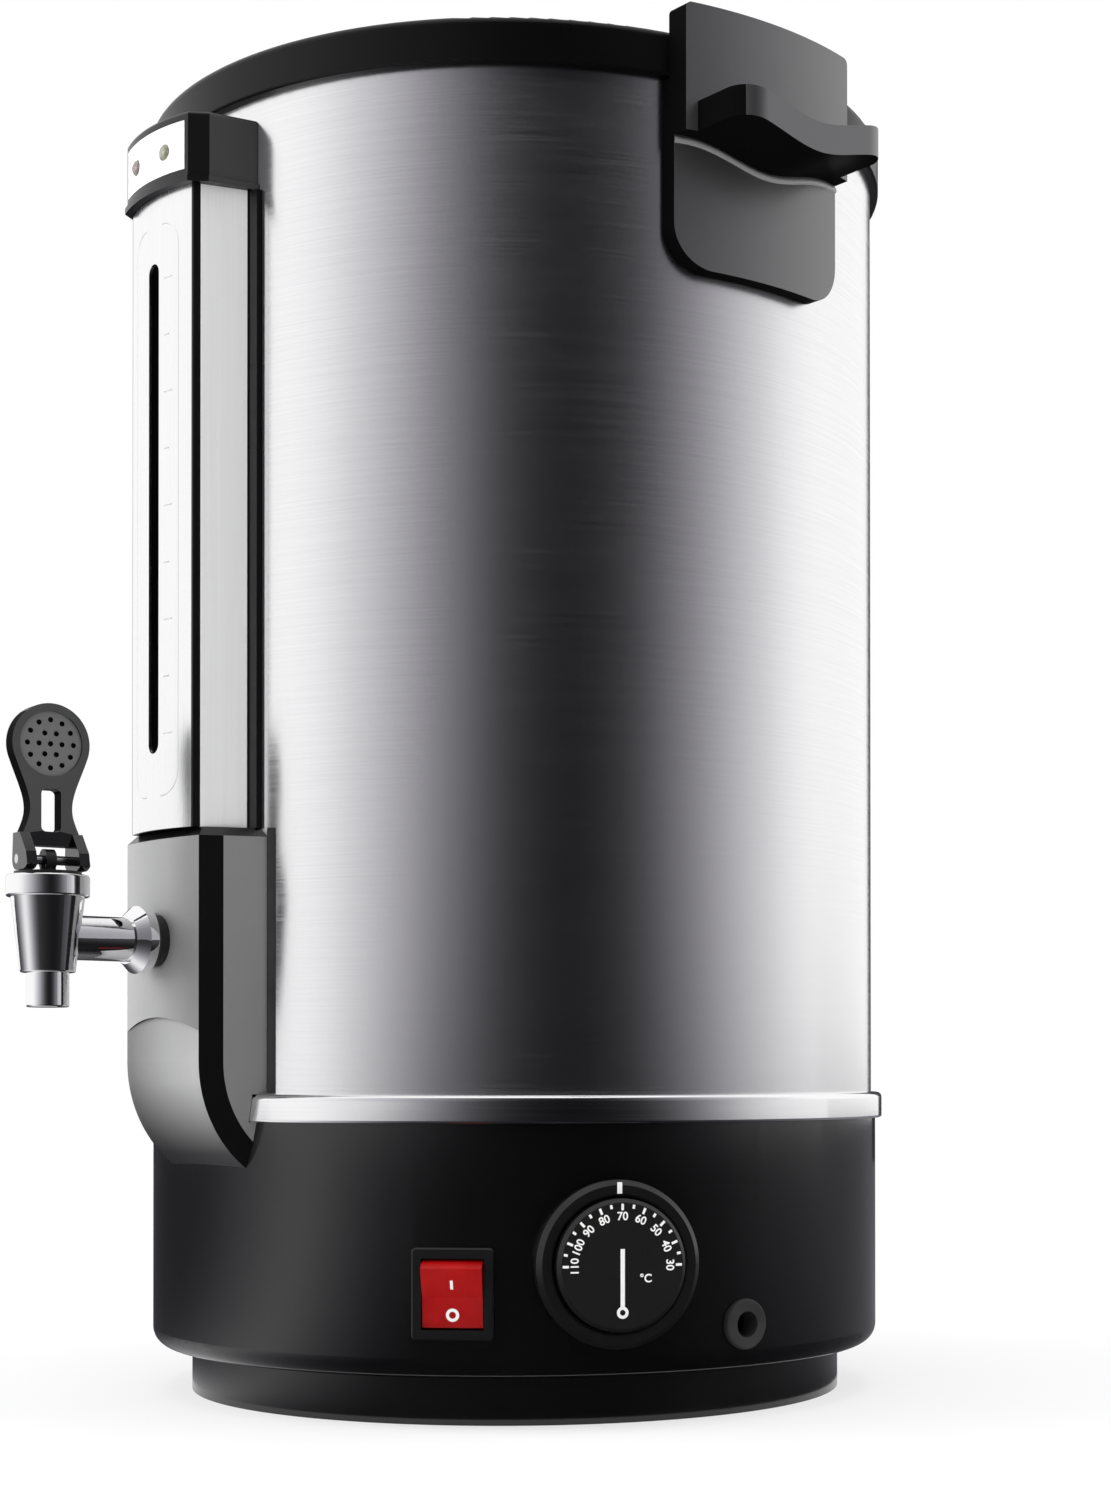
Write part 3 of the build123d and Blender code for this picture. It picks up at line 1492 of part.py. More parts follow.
def make_heater_plate():
    return disc(plate_r, heater_under_z, tank_under_z)


def make_heater_element():
    """Sheathed ring under the plate, open at the back, with two cold ends turned down."""
    ring_z = heater_under_z - element_r
    leg_end_z = ring_z - element_leg
    section = Plane.XZ * (Pos(element_ring_r, ring_z) * Circle(element_r))
    ring = revolve(section, Axis.Z, 360 - element_gap)
    ring = Rot(0, 0, 90 + element_gap / 2) * ring
    half_gap = radians(element_gap / 2)
    x, y = element_ring_r * sin(half_gap), element_ring_r * cos(half_gap)
    for side in (-1, 1):
        ring += disc(element_r, leg_end_z, ring_z, side * x, y)
        ring += Pos(side * x, y, ring_z) * Sphere(element_r)
        ring += disc(element_pin_r, leg_end_z - element_pin_len, leg_end_z, side * x, y)
    return ring


def make_thermal_cutout():
    """Bimetal cut-out clamped under the plate, with two push-on terminals."""
    low_z = heater_under_z - cutout_h
    body = disc(cutout_r, low_z, heater_under_z)
    for x in (-cutout_r / 2, cutout_r / 2):
        body += block(x - tab_t / 2, x + tab_t / 2, -tab_w / 2, tab_w / 2, low_z - tab_len, low_z)
    return body


def make_cutout_bracket():
    """Sprung strap that holds the cut-out to the plate, with its two screws."""
    top_z = heater_under_z
    low_z = top_z - cutout_h - strap_t
    half, foot = strap_len / 2, strap_foot
    strap = outline(
        [
            (-half, top_z),
            (-half, top_z - strap_t),
            (-half + foot, top_z - strap_t),
            (-half + foot, low_z),
            (half - foot, low_z),
            (half - foot, top_z - strap_t),
            (half, top_z - strap_t),
            (half, top_z),
            (half - foot - strap_t, top_z),
            (half - foot - strap_t, low_z + strap_t),
            (-half + foot + strap_t, low_z + strap_t),
            (-half + foot + strap_t, top_z),
        ]
    )
    band = Rot(0, 0, 90) * prism_out(strap, -strap_w / 2, strap_w / 2)
    band -= disc(cutout_r * 0.75, low_z, low_z + strap_t)
    head_z = top_z - strap_t
    for y in (-half + foot / 2, half - foot / 2):
        band += disc(strap_screw_r, head_z - strap_screw_r / 2, head_z, 0, y)
    return band


def make_heat_shield():
    shield = turned(
        [
            (0, shield_top_z - shield_t),
            (shield_r, shield_top_z - shield_t),
            (shield_r, shield_top_z + shield_lip_h),
            (shield_r - shield_t, shield_top_z + shield_lip_h),
            (shield_r - shield_t, shield_top_z),
            (0, shield_top_z),
        ]
    )
    hole = disc(screw_r + slip, shield_top_z - shield_t, shield_top_z, 0, -standoff_out)
    shield -= spread(standoff_azimuths, hole)
    return shield


def make_shield_fixings():
    """Three studs under the tank and the screws that hang the shield from them."""
    head_z = shield_top_z - shield_t
    hole_end_z = head_z + shield_screw_len
    stud = disc(standoff_r, shield_top_z, tank_under_z, 0, -standoff_out)
    stud -= disc(screw_r, shield_top_z, hole_end_z, 0, -standoff_out)
    screw = screw_up(head_z, shield_screw_len, standoff_out)
    return spread(standoff_azimuths, stud) + spread(standoff_azimuths, screw)


# --------------------------------------------------------------------- assembly
def save(name, shape):
    if isinstance(shape, (list, tuple)):
        shape = Compound(children=list(shape))
    export_step(shape, f"parts/{name}.step")


def main():
    os.makedirs("parts", exist_ok=True)
    side_right = make_gauge_side()
    side_left = mirror(side_right, about=Plane.YZ)
    lamp_panel = make_lamp_panel()
    handle = make_handle()

    save("base_housing", make_base_housing())
    save("bottom_cover", make_bottom_cover())
    save("rubber_feet", spread(foot_azimuths, make_rubber_foot()))
    cover_screw = screw_up(cover_under_z, cover_screw_len, cover_boss_out)
    save("cover_screws", spread(cover_screw_azimuths, cover_screw))
    base_screw = screw_down(shell_screw_z, base_screw_len, boss_out)
    save("base_screws", spread(base_screw_azimuths, base_screw))
    save("trim_ring", make_trim_ring())
    save("outer_shell", make_outer_shell())
    save("inner_tank", make_inner_tank())
    save("rim_ring", make_rim_ring())

    save("lid_frame", make_lid_frame())
    save("lid_panel", make_lid_panel())
    save("lid_gasket", make_lid_gasket())
    save("lid_knob", make_lid_knob())
    save("lid_knob_screw", screw_up(panel_under_z, knob_screw_len, 0))
    save("steam_vent", make_steam_vent())

    save("handle_right", around(handle, 90))
    save("handle_left", around(handle, -90))
    save("handle_screws", make_handle_screws())

    save("gauge_frame", make_gauge_frame([side_right, side_left]))
    save("gauge_front_plate", make_gauge_front_plate())
    save("gauge_side_right", side_right)
    save("gauge_side_left", side_left)
    save("sight_tube", make_sight_tube())
    save("tube_seals", [tube_seal(lower_seal_z), tube_seal(upper_seal_z)])
    save("gauge_tee", make_gauge_tee())
    save("gauge_screws", make_gauge_screws())
    save("gauge_cap", make_gauge_cap(lamp_panel))
    save("lamp_panel", lamp_panel)
    save("heating_lamp", make_lamp(-lamp_x))
    save("warm_lamp", make_lamp(lamp_x))
    save("tap_housing", make_tap_housing())

    save("tap_body", make_tap_body())
    save("tap_collar", make_tap_collar())
    save("guide_bush", make_guide_bush())
    save("tap_stem", make_tap_stem())
    save("seat_plug", make_seat_plug())
    save("tap_spring", make_tap_spring())
    save("tap_lever", make_tap_lever())
    save("lever_pin", make_lever_pin())
    save("tap_washer", washer_out(washer_r, thread_r + running, tap_face_d, flange_back_d))
    save("shank_seals", make_shank_seals())
    save("shank_spacer", make_shank_spacer())
    save("shank_nut", make_shank_nut())

    save("heater_plate", make_heater_plate())
    save("heater_element", make_heater_element())
    save("thermal_cutout", make_thermal_cutout())
    save("cutout_bracket", make_cutout_bracket())
    save("heat_shield", make_heat_shield())
    save("shield_fixings", make_shield_fixings())
    save("dial_bezel", make_dial_bezel())
    save("dial_knob", make_dial_knob())
    save("thermostat_nut", make_thermostat_nut())
    save("thermostat_body", make_thermostat_body())
    save("thermostat_spindle", make_thermostat_spindle())
    save("sensor_bulb", make_sensor_bulb())
    save("switch_body", make_switch_body())
    save("rocker", make_rocker())
    save("terminal_block", make_terminal_block())
    save("cord_gland", make_cord_gland())


main()
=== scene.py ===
import math

import bpy
from mathutils import Matrix, Vector


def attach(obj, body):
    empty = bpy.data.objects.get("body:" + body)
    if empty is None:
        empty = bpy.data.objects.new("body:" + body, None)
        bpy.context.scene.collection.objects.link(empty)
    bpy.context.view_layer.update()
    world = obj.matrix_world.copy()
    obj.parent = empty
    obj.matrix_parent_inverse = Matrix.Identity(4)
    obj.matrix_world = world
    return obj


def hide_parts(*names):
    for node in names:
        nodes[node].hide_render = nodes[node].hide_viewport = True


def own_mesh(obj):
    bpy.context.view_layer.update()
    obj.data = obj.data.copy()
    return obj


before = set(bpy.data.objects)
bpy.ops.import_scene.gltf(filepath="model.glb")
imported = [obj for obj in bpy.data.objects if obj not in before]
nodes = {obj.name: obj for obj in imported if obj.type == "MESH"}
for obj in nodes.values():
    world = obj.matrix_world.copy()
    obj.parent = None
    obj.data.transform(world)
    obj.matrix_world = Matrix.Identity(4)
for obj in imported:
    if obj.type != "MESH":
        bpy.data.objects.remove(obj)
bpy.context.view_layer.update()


# ---------------------------------------------------------------- base drum
# A black drum moulded in glass-filled polypropylene. It carries the controls on two pads,
# and four screws pull it up against the jacket. The mould leaves a fine even grain.
def new_finish(name, colour, roughness, metallic=0.0, **sockets):
    """A surface finish, with whatever is the same all over it set on the shader itself."""
    finish = bpy.data.materials.new(name)
    finish.use_nodes = True
    shader = finish.node_tree.nodes["Principled BSDF"]
    shader.inputs["Base Color"].default_value = (*colour, 1)
    shader.inputs["Roughness"].default_value = roughness
    shader.inputs["Metallic"].default_value = metallic
    for socket, value in sockets.items():
        shader.inputs[socket.replace("_", " ")].default_value = value
    return finish


def place_on(finish, stretch):
    """Where a point lies on the piece, in metres times stretch along x, y and z."""
    tree = finish.node_tree
    where = tree.nodes.new("ShaderNodeTexCoord")
    scale = tree.nodes.new("ShaderNodeMapping")
    scale.inputs["Scale"].default_value = stretch
    tree.links.new(where.outputs["Object"], scale.inputs["Vector"])
    return scale.outputs["Vector"]


def cloud(finish, stretch, detail=3.0, rough=0.55):
    """Noise from 0 to 1, with about one spot to each unit of the stretched place."""
    tree = finish.node_tree
    noise = tree.nodes.new("ShaderNodeTexNoise")
    noise.inputs["Scale"].default_value = 1.0
    noise.inputs["Detail"].default_value = detail
    noise.inputs["Roughness"].default_value = rough
    tree.links.new(place_on(finish, stretch), noise.inputs["Vector"])
    return noise.outputs["Fac"]


def vary(finish, socket, source, low, high, start=0.3, end=0.7):
    """Lets a socket of the shader swing between two greys or two colours with a source."""
    tree = finish.node_tree
    ramp = tree.nodes.new("ShaderNodeValToRGB")
    ramp.color_ramp.elements[0].position = start
    ramp.color_ramp.elements[1].position = end
    for stop, value in zip(ramp.color_ramp.elements, (low, high)):
        stop.color = (*value, 1) if isinstance(value, tuple) else (value, value, value, 1)
    tree.links.new(source, ramp.inputs["Fac"])
    tree.links.new(ramp.outputs["Color"], tree.nodes["Principled BSDF"].inputs[socket])


def roughen(finish, source, depth):
    """Turns a source into a fine relief of a given depth in metres."""
    tree = finish.node_tree
    bump = tree.nodes.new("ShaderNodeBump")
    bump.inputs["Distance"].default_value = depth
    tree.links.new(source, bump.inputs["Height"])
    tree.links.new(bump.outputs["Normal"], tree.nodes["Principled BSDF"].inputs["Normal"])


def moulded(name, colour, roughness, grain=0.00002, grain_size=0.0006, **sockets):
    """Moulded plastic: even colour, slightly cloudy gloss and a fine spark-eroded grain."""
    gloss_swing = 0.035
    finish = new_finish(name, colour, roughness, **sockets)
    flow = cloud(finish, (14, 14, 9))
    lighter = tuple(min(1.0, c * 1.22 + 0.001) for c in colour)
    vary(finish, "Base Color", flow, colour, lighter)
    vary(finish, "Roughness", flow, roughness - gloss_swing, roughness + gloss_swing)
    roughen(finish, cloud(finish, (1 / grain_size,) * 3, detail=2), grain)
    return finish


def dress(finish, *names):
    """Gives CAD parts their finish."""
    for name in names:
        nodes[name].data.materials.clear()
        nodes[name].data.materials.append(finish)


base_black = moulded(
    "base_black_plastic", (0.0018, 0.0018, 0.002), 0.11, grain=0.000005, Specular_IOR_Level=0.75
)
dress(base_black, "base_housing")


# ---------------------------------------------------------------- bottom cover, feet and screws
# The cover's skirt is the recessed plinth, in the same plastic with a duller face. Four round
# rubber feet plug into it, and zinc-plated steel screws hold it and the drum.
cover_black = moulded(
    "cover_black_plastic", (0.003, 0.003, 0.0032), 0.2, grain=0.00001, Specular_IOR_Level=0.6
)
dress(cover_black, "bottom_cover")


def rubber(name, colour, roughness):
    """Rubber: dull, with a soft dusty bloom."""
    gloss_swing, grain = 0.06, 0.00003
    finish = new_finish(name, colour, roughness, Specular_IOR_Level=0.3)
    bloom = cloud(finish, (60, 60, 60), detail=4)
    vary(finish, "Base Color", bloom, colour, tuple(c * 1.6 + 0.004 for c in colour))
    vary(finish, "Roughness", bloom, roughness - gloss_swing, roughness + gloss_swing)
    roughen(finish, cloud(finish, (2500, 2500, 2500), detail=1), grain)
    return finish


foot_rubber = rubber("foot_rubber", (0.02, 0.02, 0.021), 0.72)
dress(foot_rubber, "rubber_feet", "cord_gland")


def turned_metal(name, colour, roughness, marks=0.00001):
    """Turned or plated metal: fine tool marks, and gloss that a little handling has dulled."""
    finish = new_finish(name, colour, roughness, metallic=1.0)
    dull = cloud(finish, (90, 90, 90), detail=4)
    vary(finish, "Base Color", dull, tuple(c * 0.86 for c in colour), colour)
    vary(finish, "Roughness", dull, roughness - 0.05, roughness + 0.1)
    roughen(finish, cloud(finish, (700, 700, 5200), detail=2), marks)
    return finish


screw_zinc = turned_metal("screw_zinc", (0.62, 0.63, 0.64), 0.3)
dress(screw_zinc, "cover_screws", "base_screws", "handle_screws", "gauge_screws", "shield_fixings")


# ---------------------------------------------------------------- polished ring
# A rolled stainless band that hides the joint between drum and jacket. It springs into place
# and is polished on a wheel, so its marks run round it.
def brushed(name, colour, roughness, pitch, depth, swing=0.06, stretch=0.75):
    """Steel brushed or polished round the urn, its lines a pitch apart and blurred up and down."""
    finish = new_finish(
        name, colour, roughness, metallic=1.0, Anisotropic=stretch, Anisotropic_Rotation=0.25
    )
    tree = finish.node_tree
    round_it = tree.nodes.new("ShaderNodeTangent")
    round_it.direction_type, round_it.axis = "RADIAL", "Z"
    tree.links.new(round_it.outputs["Tangent"], tree.nodes["Principled BSDF"].inputs["Tangent"])
    lines = cloud(finish, (22, 22, 1 / pitch), detail=3, rough=0.6)
    vary(finish, "Base Color", lines, tuple(c * 0.92 for c in colour), colour)
    vary(finish, "Roughness", lines, roughness - swing / 2, roughness + swing)
    roughen(finish, lines, depth)
    return finish


def set_on(body, name, mesh):
    """A piece made of a mesh, riding on a body."""
    piece = bpy.data.objects.new(name, mesh)
    bpy.context.scene.collection.objects.link(piece)
    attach(piece, body)
    return piece


def mesh_piece(name, verts, faces, finish, body, smooth=True):
    """A piece of the given corners and faces."""
    mesh = bpy.data.meshes.new(name)
    mesh.from_pydata(verts, [], faces)
    mesh.validate()
    mesh.materials.append(finish)
    for face in mesh.polygons:
        face.use_smooth = smooth
    return set_on(body, name, mesh)


def rounded(corners, radii, steps=6):
    """A closed outline through rounded corners (r, z), with a point just beside each round."""
    beside = 0.0001
    outline = []
    for i, (corner, radius) in enumerate(zip(corners, radii)):
        here = Vector(corner)
        back = (Vector(corners[i - 1]) - here).normalized()
        on = (Vector(corners[(i + 1) % len(corners)]) - here).normalized()
        if not radius:
            outline += [here + back * beside, here, here + on * beside]
            continue
        reach = radius / math.tan(back.angle(on) / 2)
        middle = here + (back + on).normalized() * radius / math.sin(back.angle(on) / 2)
        start, end = here + back * reach - middle, here + on * reach - middle
        outline.append(middle + start + back * beside)
        for k in range(steps + 1):
            outline.append(middle + start.lerp(end, k / steps).normalized() * radius)
        outline.append(middle + end + on * beside)
    return [(point.x, point.y) for point in outline]


def lathe(name, outline, finish, body, steps=256):
    """A closed outline of (r, z) turned round the urn's axis."""
    verts, faces = [], []
    count = len(outline)
    for k in range(steps):
        a = math.radians(360 * k / steps)
        verts += [(r * math.cos(a), r * math.sin(a), z) for r, z in outline]
        here, there = k * count, (k + 1) % steps * count
        for i in range(count):
            j = (i + 1) % count
            faces.append((here + i, there + i, there + j, here + j))
    return mesh_piece(name, verts, faces, finish, body)


ring_steel = brushed(
    "ring_polished_steel", (0.985, 0.985, 0.99), 0.1,
    pitch=0.0006, depth=0.0000006, swing=0.03, stretch=0.3,
)
ring_in, ring_out, ring_low, ring_top = 0.12856, 0.1323, 0.096, 0.105
ring_outline = rounded(
    [(ring_in, ring_low), (ring_out, ring_low), (ring_out, ring_top), (ring_in, ring_top)],
    [0, 0.0008, 0.0018, 0],
)
polished_ring = lathe("polished_ring", ring_outline, ring_steel, "urn")
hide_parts("trim_ring")


# ---------------------------------------------------------------- jacket
# A sheet of stainless steel rolled round, seam welded at the back and brushed on a belt
# while it turns, so every line runs level round it.
jacket_steel = brushed(
    "jacket_brushed_steel", (0.965, 0.963, 0.97), 0.2, pitch=0.0005, depth=0.0000016
)
dress(jacket_steel, "outer_shell")


def evenly_round(finish):
    """Shades a rolled sheet as truly round about the urn's axis, under its brush marks."""
    tree = finish.node_tree
    where = tree.nodes.new("ShaderNodeTexCoord")
    level = tree.nodes.new("ShaderNodeVectorMath")
    level.operation = "MULTIPLY"
    level.inputs[1].default_value = (1, 1, 0)
    straight_out = tree.nodes.new("ShaderNodeVectorMath")
    straight_out.operation = "NORMALIZE"
    turned = tree.nodes.new("ShaderNodeVectorTransform")
    turned.vector_type, turned.convert_from, turned.convert_to = "NORMAL", "OBJECT", "WORLD"
    tree.links.new(where.outputs["Object"], level.inputs[0])
    tree.links.new(level.outputs[0], straight_out.inputs[0])
    tree.links.new(straight_out.outputs[0], turned.inputs[0])
    bump = next(node for node in tree.nodes if node.bl_idname == "ShaderNodeBump")
    tree.links.new(turned.outputs[0], bump.inputs["Normal"])


evenly_round(jacket_steel)


# ---------------------------------------------------------------- tank
# Deep-drawn stainless with its flange turned out over the jacket. The inside is bright,
# with faint bands left by the drawing.
tank_steel = brushed("tank_drawn_steel", (0.8, 0.8, 0.79), 0.2, pitch=0.003, depth=0.00001)
dress(tank_steel, "inner_tank")


# ---------------------------------------------------------------- heater under the tank
# A cast aluminium disc with a sheathed element, a thermal cut-out on two spring clips, a
# tinned heat shield on studs, and the thermostat's copper bulb with its thin tube.
dress(turned_metal("cast_aluminium", (0.6, 0.6, 0.61), 0.5, marks=0.00004), "heater_plate")
dress(turned_metal("element_sheath", (0.42, 0.41, 0.4), 0.42), "heater_element")
dress(turned_metal("shield_tinplate", (0.7, 0.7, 0.71), 0.28), "heat_shield", "cutout_bracket")
dress(turned_metal("bulb_copper", (0.72, 0.38, 0.25), 0.28), "sensor_bulb")
dress(moulded("cutout_phenolic", (0.035, 0.022, 0.014), 0.38), "thermal_cutout", "thermostat_body")
dress(moulded("terminal_nylon", (0.62, 0.6, 0.55), 0.4, Subsurface_Weight=0.1), "terminal_block")


# ---------------------------------------------------------------- rim band
# A black moulded ring pressed over the jacket's top edge, with a dull even face. The lid's
# gasket seats inside it.
rim_black = moulded("rim_black_plastic", (0.0025, 0.0025, 0.0027), 0.3, Specular_IOR_Level=0.2)
dress(rim_black, "rim_ring")


# ---------------------------------------------------------------- lid
# A moulded ring round a spun steel panel, with a knob held by one screw from below, a
# steam vent, and a clear silicone gasket that seals on the tank's flange.
dress(rim_black, "lid_frame")
lid_steel = brushed("lid_spun_steel", (0.86, 0.86, 0.865), 0.2, pitch=0.0016, depth=0.000004)
dress(lid_steel, "lid_panel")
handle_black = moulded(
    "handle_black_plastic", (0.032, 0.032, 0.033), 0.33,
    grain=0.00003, grain_size=0.0005, IOR=1.8, Specular_IOR_Level=1.0,
)
dress(handle_black, "lid_knob", "steam_vent")
dress(screw_zinc, "lid_knob_screw")
seal_silicone = rubber("seal_silicone", (0.55, 0.54, 0.51), 0.5)
dress(seal_silicone, "lid_gasket", "tube_seals", "shank_seals", "seat_plug")


# ---------------------------------------------------------------- handles
# Two black shields with a finger ledge, each moulded in one piece and screwed on through the
# jacket from inside. Their faces are smooth; their ends and undersides are painted near black as
# painted shade.
def second_finish(name, finish, picks):
    """A CAD part's other finish, on the faces for which picks(face) is true."""
    mesh = nodes[name].data
    mesh.materials.append(finish)
    for face in mesh.polygons:
        if picks(face):
            face.material_index = len(mesh.materials) - 1


def left_matt(face):
    """Whether a face of a handle is on its edge or its underside, where shade is painted."""
    return abs(face.normal.y) > 0.75 or face.normal.z < -0.3


dress(handle_black, "handle_right", "handle_left")
# Painted shade: a near black that barely reflects, for the handles' ends and undersides and for
# parts of the lever.
painted_shade_black = moulded("matt_painted_shade", (0.003, 0.003, 0.0032), 0.4, IOR=1.03)
lip_highlight_grey = moulded("handle_lip_painted_highlight", (0.22, 0.22, 0.222), 0.3)
shield_out, ledge_low, ledge_top = 0.1339, 0.4, 0.4085
lip_down, lip_wide, lip_high, lip_sunk, lip_points = 0.0015, 0.0021, 0.0007, 0.00005, 5
for name, side in (("handle_right", 1), ("handle_left", -1)):
    second_finish(name, painted_shade_black, left_matt)
    # A lip runs along the shield just under the ledge, painted a light grey as a painted highlight.
    # It follows the line where the two meet.
    line = {
        (round(v.co.y, 5), round(v.co.z, 5))
        for v in nodes[name].data.vertices
        if ledge_low < v.co.z < ledge_top
        and abs(math.hypot(v.co.x, v.co.y) - shield_out) < 0.00002
    }
    verts, faces = [], []
    for y, z in sorted(line):
        a = math.asin(y / shield_out)
        for k in range(lip_points):
            turn = math.radians(180 * k / (lip_points - 1))
            r = shield_out - lip_sunk + lip_high * math.sin(turn)
            up = z - lip_down + lip_wide / 2 * math.cos(turn)
            verts.append((side * r * math.cos(a), r * math.sin(a), up))
    for row in range(len(line) - 1):
        for k in range(lip_points - 1):
            i = lip_points * row + k
            loop = (i, i + 1, i + lip_points + 1, i + lip_points)
            faces.append(loop[::-1] if side > 0 else loop)
    mesh_piece(f"{name}_lip", verts, faces, lip_highlight_grey, "urn")


# ---------------------------------------------------------------- sight gauge column
# A black moulded channel screwed on from inside. Thin plates are glued to it, bare stainless on its
# front, and on its cheeks steel painted a pale, nearly unmetallic grey as painted light. A glass
# tube stands behind the front's slot.
gauge_black = moulded("gauge_black_plastic", (0.004, 0.004, 0.0045), 0.3)
dress(gauge_black, "gauge_frame")


def plated(name, colour, roughness, metallic):
    """Thin steel strip with the mill's fine grain running up it."""
    finish = new_finish(name, colour, roughness, metallic=metallic)
    grain = cloud(finish, (1500, 1500, 12), detail=3, rough=0.6)
    vary(finish, "Base Color", grain, tuple(c * 0.95 for c in colour), colour)
    vary(finish, "Roughness", grain, roughness - 0.04, roughness + 0.05)
    roughen(finish, grain, 0.000001)
    return finish


plate_steel = plated("gauge_plate_steel", (0.98, 0.98, 0.98), 0.24, 1.0)
dress(plate_steel, "gauge_front_plate")
# Painted light: the cheeks' pale grey stands in for the light falling on them.
cheek_painted_light = plated("cheek_steel_painted_light", (0.92, 0.92, 0.92), 0.42, 0.1)
dress(cheek_painted_light, "gauge_side_right", "gauge_side_left")
tube_glass = new_finish(
    "sight_glass", (0.93, 0.97, 0.95), 0.03, Transmission_Weight=1.0, IOR=1.47
)
vary(tube_glass, "Roughness", cloud(tube_glass, (200, 200, 30), detail=4), 0.01, 0.1)
dress(tube_glass, "sight_tube")
tee_brass = turned_metal("tee_brass", (0.72, 0.55, 0.28), 0.32)
dress(tee_brass, "gauge_tee", "shank_nut", "thermostat_nut")


# ---------------------------------------------------------------- scale beside the sight slot
# A shallow rounded border is pressed into the front plate before it is brushed, so it reads
# only as a faint line. A short grey mark is etched for each cup, every second one longer.
col_front, col_bulge, col_half = 0.1455, 0.0032, 0.02
slot_low, slot_top = 0.216, 0.376


def plate_out(x):
    """How far out the bowed front plate stands at x."""
    return col_front + col_bulge * (1 - (x / col_half) ** 2)


def raised_line(points, width, closed, height=0.00012, sunk=0.00004):
    """Corners and faces of a low ridge that follows points (x, z) on the bowed plate."""
    verts, faces = [], []
    count = len(points)
    for i, (x, z) in enumerate(points):
        before = points[i - 1] if closed or i else points[i]
        after = points[(i + 1) % count] if closed or i < count - 1 else points[i]
        run = Vector((after[0] - before[0], after[1] - before[1])).normalized()
        side = Vector((-run.y, run.x)) * width / 2
        for across, lift in ((-1, 0.0), (-0.45, height), (0.45, height), (1, 0.0)):
            px, pz = x + side.x * across, z + side.y * across
            verts.append((px, -(plate_out(px) + lift - sunk), pz))
    spans = count if closed else count - 1
    for i in range(spans):
        a, b = 4 * i, 4 * ((i + 1) % count)
        faces += [(a + k, a + k + 1, b + k + 1, b + k) for k in range(3)]
    return verts, faces


border, border_half, border_r, border_wide = [], 0.0135, 0.008, 0.0005
border_low, border_top = slot_low - 0.006, slot_top + 0.004
for quarter, (cx, cz) in enumerate((
    (border_half - border_r, border_top), (border_r - border_half, border_top),
    (border_r - border_half, border_low), (border_half - border_r, border_low),
)):
    for step in range(9):
        a = math.radians(90 * quarter + 90 * step / 8)
        border.append((cx + border_r * math.cos(a), cz + border_r * math.sin(a)))
verts, faces = raised_line(border, border_wide, closed=True)
mesh_piece("gauge_border", verts, faces, plate_steel, "urn")

marks_low, mark_pitch, mark_x, mark_wide = slot_low + 0.006, 0.0185, 0.0062, 0.0006
long_mark, short_mark = 0.0042, 0.0026
verts, faces = [], []
for i in range(9):
    z, mark_end = marks_low + i * mark_pitch, mark_x + (short_mark if i % 2 else long_mark)
    more_verts, more_faces = raised_line([(mark_x, z), (mark_end, z)], mark_wide, closed=False)
    faces += [tuple(k + len(verts) for k in face) for face in more_faces]
    verts += more_verts
mark_grey = moulded("scale_etched_grey", (0.42, 0.42, 0.42), 0.45)
mesh_piece("gauge_scale_marks", verts, faces, mark_grey, "urn", smooth=False)


# ---------------------------------------------------------------- gauge cap and lamps
# A black moulded cap closes the column, its cheeks painted a lighter grey as painted light. A white
# panel with two neon lamps behind tinted lenses is glued into its face.
dress(gauge_black, "gauge_cap")
# Painted light: the cap's cheeks are a lighter grey than its front.
cap_side_lit = moulded("cap_side_painted_light", (0.045, 0.045, 0.046), 0.4, Specular_IOR_Level=0.7)
second_finish("gauge_cap", cap_side_lit, lambda face: abs(face.normal.x) > 0.9)
panel_white = moulded("panel_white_plastic", (0.86, 0.86, 0.85), 0.3)
dress(panel_white, "lamp_panel")


def lens(name, colour):
    """A moulded lens: tinted, a little milky, with faint ribs behind it."""
    finish = new_finish(name, colour, 0.2, Transmission_Weight=0.35, Subsurface_Weight=0.2)
    ribs = cloud(finish, (900, 900, 900), detail=1)
    vary(finish, "Base Color", ribs, tuple(c * 0.8 for c in colour), colour)
    vary(finish, "Roughness", ribs, 0.15, 0.3)
    return finish


dress(lens("lamp_lens_red", (0.42, 0.3, 0.31)), "heating_lamp")
dress(lens("lamp_lens_amber", (0.5, 0.46, 0.35)), "warm_lamp")


# ---------------------------------------------------------------- tap housing
# A black moulded cover under the column that hides the shank and the gauge's tee. It laps
# down over the drum, with a round foot under an arch. Its faces are textured satin in the mould,
# painted in greys that stand for the light on them, lighter on the front than on the sides; the
# bevels between them are polished black.
def satin(name, grey):
    """One of the housing's satin faces, in a grey that paints in the light falling on it."""
    return moulded(
        f"housing_lit_satin_{name}", (grey, grey, grey), 0.42,
        grain=0.00004, grain_size=0.0005, Specular_IOR_Level=0.7,
    )


arch_r, arch_middle_z = 0.062, 0.068


def on_front(face):
    """Whether a face of the housing is on its front rather than on a bevel or a side."""
    return abs(face.normal.x) < 0.5


def under_arch(face):
    """Whether a face of the housing is on its round foot."""
    return on_front(face) and math.hypot(face.center.x, face.center.z - arch_middle_z) < arch_r


def on_bevel(face):
    """Whether a face of the housing is on one of its bevels or its top."""
    return 0.5 < abs(face.normal.x) < 0.915 or face.normal.z > 0.5


# Painted light: the front and the foot are painted a lighter grey than the side.
housing_front, housing_foot = satin("front", 0.28), satin("belly", 0.28)
housing_bevel = moulded("housing_polished_bevel", (0.004, 0.004, 0.0045), 0.2)
dress(satin("side", 0.195), "tap_housing")
second_finish("tap_housing", housing_front, on_front)
second_finish("tap_housing", housing_foot, under_arch)
second_finish("tap_housing", housing_bevel, on_bevel)


